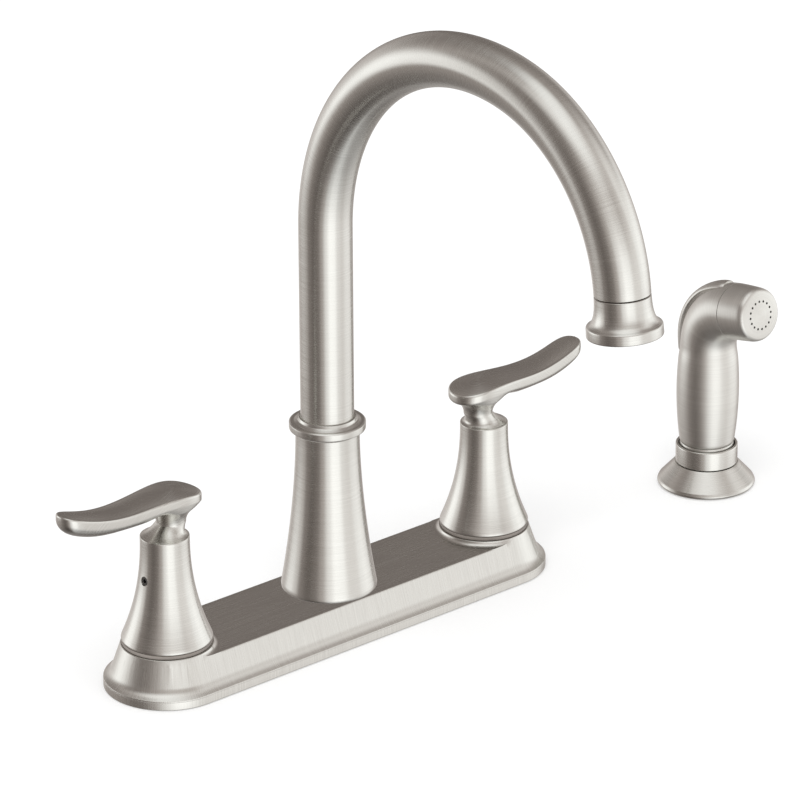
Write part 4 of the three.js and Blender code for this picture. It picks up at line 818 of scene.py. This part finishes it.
def spray_shell():
    """The barrel and the elbow, before anything is cut out of them."""
    foot = [
        (12.7, 15.7), (12.7, 20.9), (13.0, 21.3), (13.5, 21.4), (13.85, 21.8), (13.95, 22.4), (13.8, 23.0),
        (13.6, 23.5), (13.75, 24.0),
    ]
    rings = [elbow_ring(0, radius, z - ELBOW_Z) for radius, z in foot]
    rings += [elbow_ring(0, barrel_radius(z), z - ELBOW_Z) for z in np.linspace(24.8, ELBOW_Z, 40)]
    rings += [elbow_ring(angle, HEAD_R) for angle in np.linspace(0, ELBOW_END, 48)[1:]]
    neck = ((HEAD_R - 0.25, 0.05), (12.1, 0.05), (12.1, 5.6))
    rings += [elbow_ring(ELBOW_END, radius, lift) for radius, lift in neck]
    return ring_mesh("spray_body_bent", rings, bent=True)


def trigger_pocket():
    """Room for the strip, and for the way that its free end moves when it is pressed."""
    y, z = PIVOT
    reach = z - ELBOW_Z + TRIGGER_TAIL
    slide = TRIGGER_TRAVEL * (HEAD_R + trigger_rise(0) - y)

    def depth(share):
        return trigger_sunk(share) + 0.6 + TRIGGER_TRAVEL * reach * (1 - share)

    return ring_mesh("pocket", strip_rings(lambda share: 10.0, depth, GAP, slide))


def spray_body():
    y, z = PIVOT
    bore = [
        (0, 10), (8.3, 10), (8.3, 27.3), (3.0, 27.3), (3.0, 70), (4.0, 70), (4.0, PLUNGER_TOP),
        (0, PLUNGER_TOP),
    ]
    tab_y = -2.4 - TRIGGER_TRAVEL * (z - PLUNGER_TOP)
    tab_z = PLUNGER_TOP - TRIGGER_TRAVEL * (HEAD_R / 2 - y)
    rooms = (
        trigger_pocket(),
        cross_bar("lug_room", PIN_RADIUS + 1.6, 3.7),
        box("web_room", (-3.7, y - 2.35, z), (3.7, y + 2.35, z + PIVOT_DEPTH)),
        box("tab_room", (-2.3, tab_y, tab_z), (2.3, HEAD_R, PLUNGER_TOP + 3.6)),
        cross_bar("pin_bore", PIN_RADIUS + 0.1, 8.6),
        lathe("bore", bore, 64),
    )
    body = spray_shell()
    for room in rooms:
        body = combined(body, room, "DIFFERENCE")
    return moved(body, at(*SPRAY))


def nozzle_cap():
    profile = [(0, 14.0), (12.4, 14.0), (12.4, 0.2), (14.2, 0.2), (14.4, 0.4), (14.4, 1.2)]
    profile += [(14.3, 6.0), (14.12, 10.0), (13.95, 13.0)]
    profile += bezier((13.9, 13.6), (13.6, 16.6), (11.9, 17.0), 10)
    profile += [(10.8, 17.12), (9.0, 17.25), (6.0, 17.4), (3.0, 17.48), (0, 17.5)]
    cap = lathe("nozzle_cap_turned", profile, 160)
    for turn in JETS:
        cap = combined(cap, cylinder("jet", JET_R, 12, 19, 24, turn), "DIFFERENCE")
    return moved(cap, HEAD_PLACE)


def nozzle_insert():
    """The soft insert behind the face, with a nub in each of the face's holes."""
    disc = [(3, 5.97), (11.9, 5.97), (12.1, 6.2), (12.1, 11.2), (10.3, 11.3), (10.3, 13.4), (3, 13.4)]
    nub = [(0, 12.8), (0.5, 12.8), (0.5, 16.6), (0.3, 16.75), (0, 16.75)]
    insert = lathe("nozzle_insert_moulded", disc, 96)
    for turn in JETS:
        insert = combined(insert, lathe("nub", nub, 20, turn), "UNION")
    return moved(insert, HEAD_PLACE)


def holder_flange():
    profile = eased([
        (12.6, 1.2, 0), (22.5, 1.2, 0), (22.5, 0.4, 0), (24.4, 0.4, 0.5), (25.3, 1.6, 0.9), (24.6, 3.1, 1.4),
        (16.9, 11.6, 1.0), (16.3, 12.2, 0.2), (12.6, 12.2, 0),
    ], 6)
    return lathe("holder_flange_turned", profile, 160, at(*SPRAY))


def holder_cup():
    angles = even_angles(128)
    bore = [(11.2, 15.4), (11.2, -42), (11.4, -42)]
    thread = thread_rings(12.3, 11.6, -41.7, -3, CUP_PITCH, angles)
    upper = eased([
        (12.3, -2.9, 0), (12.3, 12.5, 0), (15.7, 12.5, 0.2), (16.0, 12.8, 0.2), (16.0, 22.5, 0.9),
        (14.5, 22.6, 0.8), (14.5, 15.4, 0.2), (11.2, 15.4, 0),
    ], 6)[:-1]
    rings = circles(bore, angles) + thread + circles(upper, angles)
    return moved(ring_mesh("holder_cup_turned", rings, closed=True), at(*SPRAY))


def spray_set():
    piece(spray_body(), "hand_spray", NICKEL_PLATED, node="spray_body")
    piece(spray_trigger(), "trigger_lever", NICKEL_PLATED, node="trigger", mirrored=False)
    piece(nozzle_cap(), "hand_spray", NICKEL_PLATED, node="nozzle_cap")
    # Painted shade: the dark insert stands for the shade in the face's holes.
    piece(nozzle_insert(), "hand_spray", HOLE_SHADE_PLASTIC, "nozzle_insert")
    piece(holder_flange(), "fixed_assembly", NICKEL, node="holder_flange")
    piece(holder_cup(), "fixed_assembly", NICKEL, node="holder_cup")


# ---------------------------------------------------------------- stage
CAMERA_AZIMUTH = math.radians(-130.2)
CAMERA_PLACE = (-1.565754, -1.851121, 1.159149)
CAMERA_RIGHT, CAMERA_UP = (0.760938, -0.648756, -0.009419), (0.255453, 0.286217, 0.923484)
CAMERA_AHEAD = (0.596420, 0.705121, -0.383520)
CAMERA_LENS, CAMERA_SHIFT = 246.5615, (0.09185, -0.08156)
FLOOR_RADIUS, FLOOR_DEPTH, FLOOR_GREY, FLOOR_GLOW = 4000, 20.0, 0.8, 0.25
LAMP_ENERGY, LAMP_SPREAD, LAMP_TURN = 1.1, math.radians(40), (28, -14, -25)
ROOM_GREY = 0.75  # what lights the scene from all round
# What reflections see of the studio: pairs of an azimuth from the camera's side, in degrees, and a level.
# Upright soft boxes stand in front, at the right and at the left, with a dim room between and above them.
STUDIO_LOW = (
    (-180, 0.70), (-160, 0.78), (-144, 0.50), (-116, 0.42), (-97, 0.40), (-74, 0.26), (-53, 0.18),
    (-35, 0.25), (-17, 0.55), (0, 1.16), (17, 1.64), (35, 1.60), (53, 1.12), (74, 0.92), (90, 1.06),
    (104, 1.08), (120, 0.98), (144, 0.38), (180, 0.70),
)
STUDIO_LEVEL = (
    (-180, 0.20), (-165, 0.50), (-150, 0.76), (-135, 0.88), (-116, 1.50), (-104, 1.45), (-90, 0.98),
    (-74, 0.30), (-53, 0.18), (-35, 0.24), (-17, 0.52), (0, 1.10), (17, 1.46), (35, 1.38), (53, 1.00),
    (74, 1.04), (90, 1.25), (104, 1.40), (120, 1.30), (138, 0.95), (155, 0.62), (180, 0.20),
)
STUDIO_DIM = (
    (-180, 0.22), (-150, 0.25), (-125, 0.32), (-108, 0.48), (-90, 0.34), (-70, 0.24), (-50, 0.25),
    (-30, 0.40), (-10, 0.60), (10, 0.74), (30, 0.68), (50, 0.56), (68, 0.72), (88, 1.06), (106, 0.92),
    (130, 0.42), (150, 0.30), (180, 0.22),
)
STUDIO_CROWN = (
    (-180, 0.38), (-150, 0.30), (-120, 0.31), (-90, 0.46), (-68, 0.92), (-45, 1.16), (-10, 1.30), (20, 1.24),
    (50, 1.00), (80, 0.68), (105, 0.48), (130, 0.40), (155, 0.40), (180, 0.38),
)
STUDIO_PEAK, STUDIO_TOP = 1.8, 1.2
STUDIO_UNDER = 0.42  # how bright the low row still is straight below
# Where each row gives way to the next one up, as a direction's Z.
STUDIO_STEPS = ((-0.85, -0.42), (-0.36, -0.20), (0.12, 0.40), (0.62, 0.86), (0.90, 0.99))


def studio_ramp(tree, share, stops):
    """Level by azimuth. The darker it is, the warmer, as a dim room is behind the lamps."""
    ramp = add_node(tree, "ShaderNodeValToRGB", {0: share})
    ramp.color_ramp.interpolation = "EASE"
    elements = ramp.color_ramp.elements
    elements.remove(elements[1])
    for k, (degrees, level) in enumerate(stops):
        position = 0.5 + degrees / 360
        stop = elements.new(position) if k else elements[0]
        stop.position = position
        warmth = max(0.0, 1 - level / 1.25)
        tint = (1, 1 - 0.15 * warmth, 1 - 0.22 * warmth)
        stop.color = (*[level * part / STUDIO_PEAK for part in tint], 1)
    return ramp.outputs[0]


def studio_colour(tree):
    """The studio in the reflections, by direction."""
    direction = add_node(tree, "ShaderNodeTexCoord").outputs["Generated"]
    height = add_node(tree, "ShaderNodeSeparateXYZ", {0: direction}).outputs[2]
    ahead = Vector((math.cos(CAMERA_AZIMUTH), math.sin(CAMERA_AZIMUTH), 0))
    aside = Vector((-ahead.y, ahead.x, 0))
    near, side = (part_along(tree, direction, axis) for axis in (ahead, aside))
    share = remap(tree, math_node(tree, "ARCTAN2", side, near), -math.pi, math.pi, 0.0, 1.0)
    rows = [studio_ramp(tree, share, row) for row in (STUDIO_LOW, STUDIO_LEVEL, STUDIO_DIM, STUDIO_CROWN)]
    top = STUDIO_TOP / STUDIO_PEAK
    studio = scaled(tree, rows[0], STUDIO_UNDER)
    for (start, end), row in zip(STUDIO_STEPS, [*rows, (top, top, top, 1)]):
        studio = blend(tree, remap(tree, height, start, end, 0.0, 1.0), studio, row)
    return scaled(tree, studio, STUDIO_PEAK)


def studio_world():
    world = bpy.data.worlds.new("studio")
    bpy.context.scene.world = world
    world.use_nodes = True
    world.cycles.sampling_method = "NONE"
    tree = world.node_tree
    tree.nodes.clear()
    mirrored, seen = ray_kinds(tree)
    plain = blend(tree, seen, (ROOM_GREY, ROOM_GREY, ROOM_GREY, 1), (1, 1, 1, 1))
    colour = blend(tree, mirrored, plain, studio_colour(tree))
    background = add_node(tree, "ShaderNodeBackground", {"Color": colour})
    output = add_node(tree, "ShaderNodeOutputWorld")
    tree.links.new(background.outputs[0], output.inputs[0])


def floor():
    obj = ring_mesh("floor", circles([(FLOOR_RADIUS, 0.0), (FLOOR_RADIUS, -FLOOR_DEPTH)], even_angles(96)))
    material, tree, shader = new_material("pale_floor")
    shader.inputs["Base Color"].default_value = (FLOOR_GREY, FLOOR_GREY, FLOOR_GREY, 1)
    shader.inputs["Roughness"].default_value = 0.9
    shader.inputs["Specular IOR Level"].default_value = 0.0
    shader.inputs["Emission Color"].default_value = (1, 1, 1, 1)
    seen = ray_kinds(tree)[1]
    tree.links.new(math_node(tree, "MULTIPLY", seen, FLOOR_GLOW), shader.inputs["Emission Strength"])
    obj.data.materials.append(material)
    obj.visible_glossy = False


def lamp():
    data = bpy.data.lights.new("key", "SUN")
    data.energy = LAMP_ENERGY
    data.angle = LAMP_SPREAD
    obj = bpy.data.objects.new("key", data)
    obj.rotation_euler = [math.radians(angle) for angle in LAMP_TURN]
    obj.visible_glossy = False
    bpy.context.scene.collection.objects.link(obj)


def camera():
    data = bpy.data.cameras.new("camera")
    data.sensor_fit = "HORIZONTAL"
    data.sensor_width = 36.0
    data.lens = CAMERA_LENS
    data.shift_x, data.shift_y = CAMERA_SHIFT
    data.clip_end = 20.0
    obj = bpy.data.objects.new("camera", data)
    axes = Matrix((CAMERA_RIGHT, CAMERA_UP, -Vector(CAMERA_AHEAD))).transposed().to_4x4()
    obj.matrix_world = Matrix.Translation(CAMERA_PLACE) @ axes
    bpy.context.scene.collection.objects.link(obj)
    bpy.context.scene.camera = obj


# ---------------------------------------------------------------- assembly
camera()
bpy.context.scene.view_settings.view_transform = "Standard"
studio_world()
floor()
lamp()
dress_cad_nodes()
piece(deck_plate(), "fixed_assembly", NICKEL, node="deck_plate", mirrored=False)
handles()
spout()
valve_bodies()
spray_set()
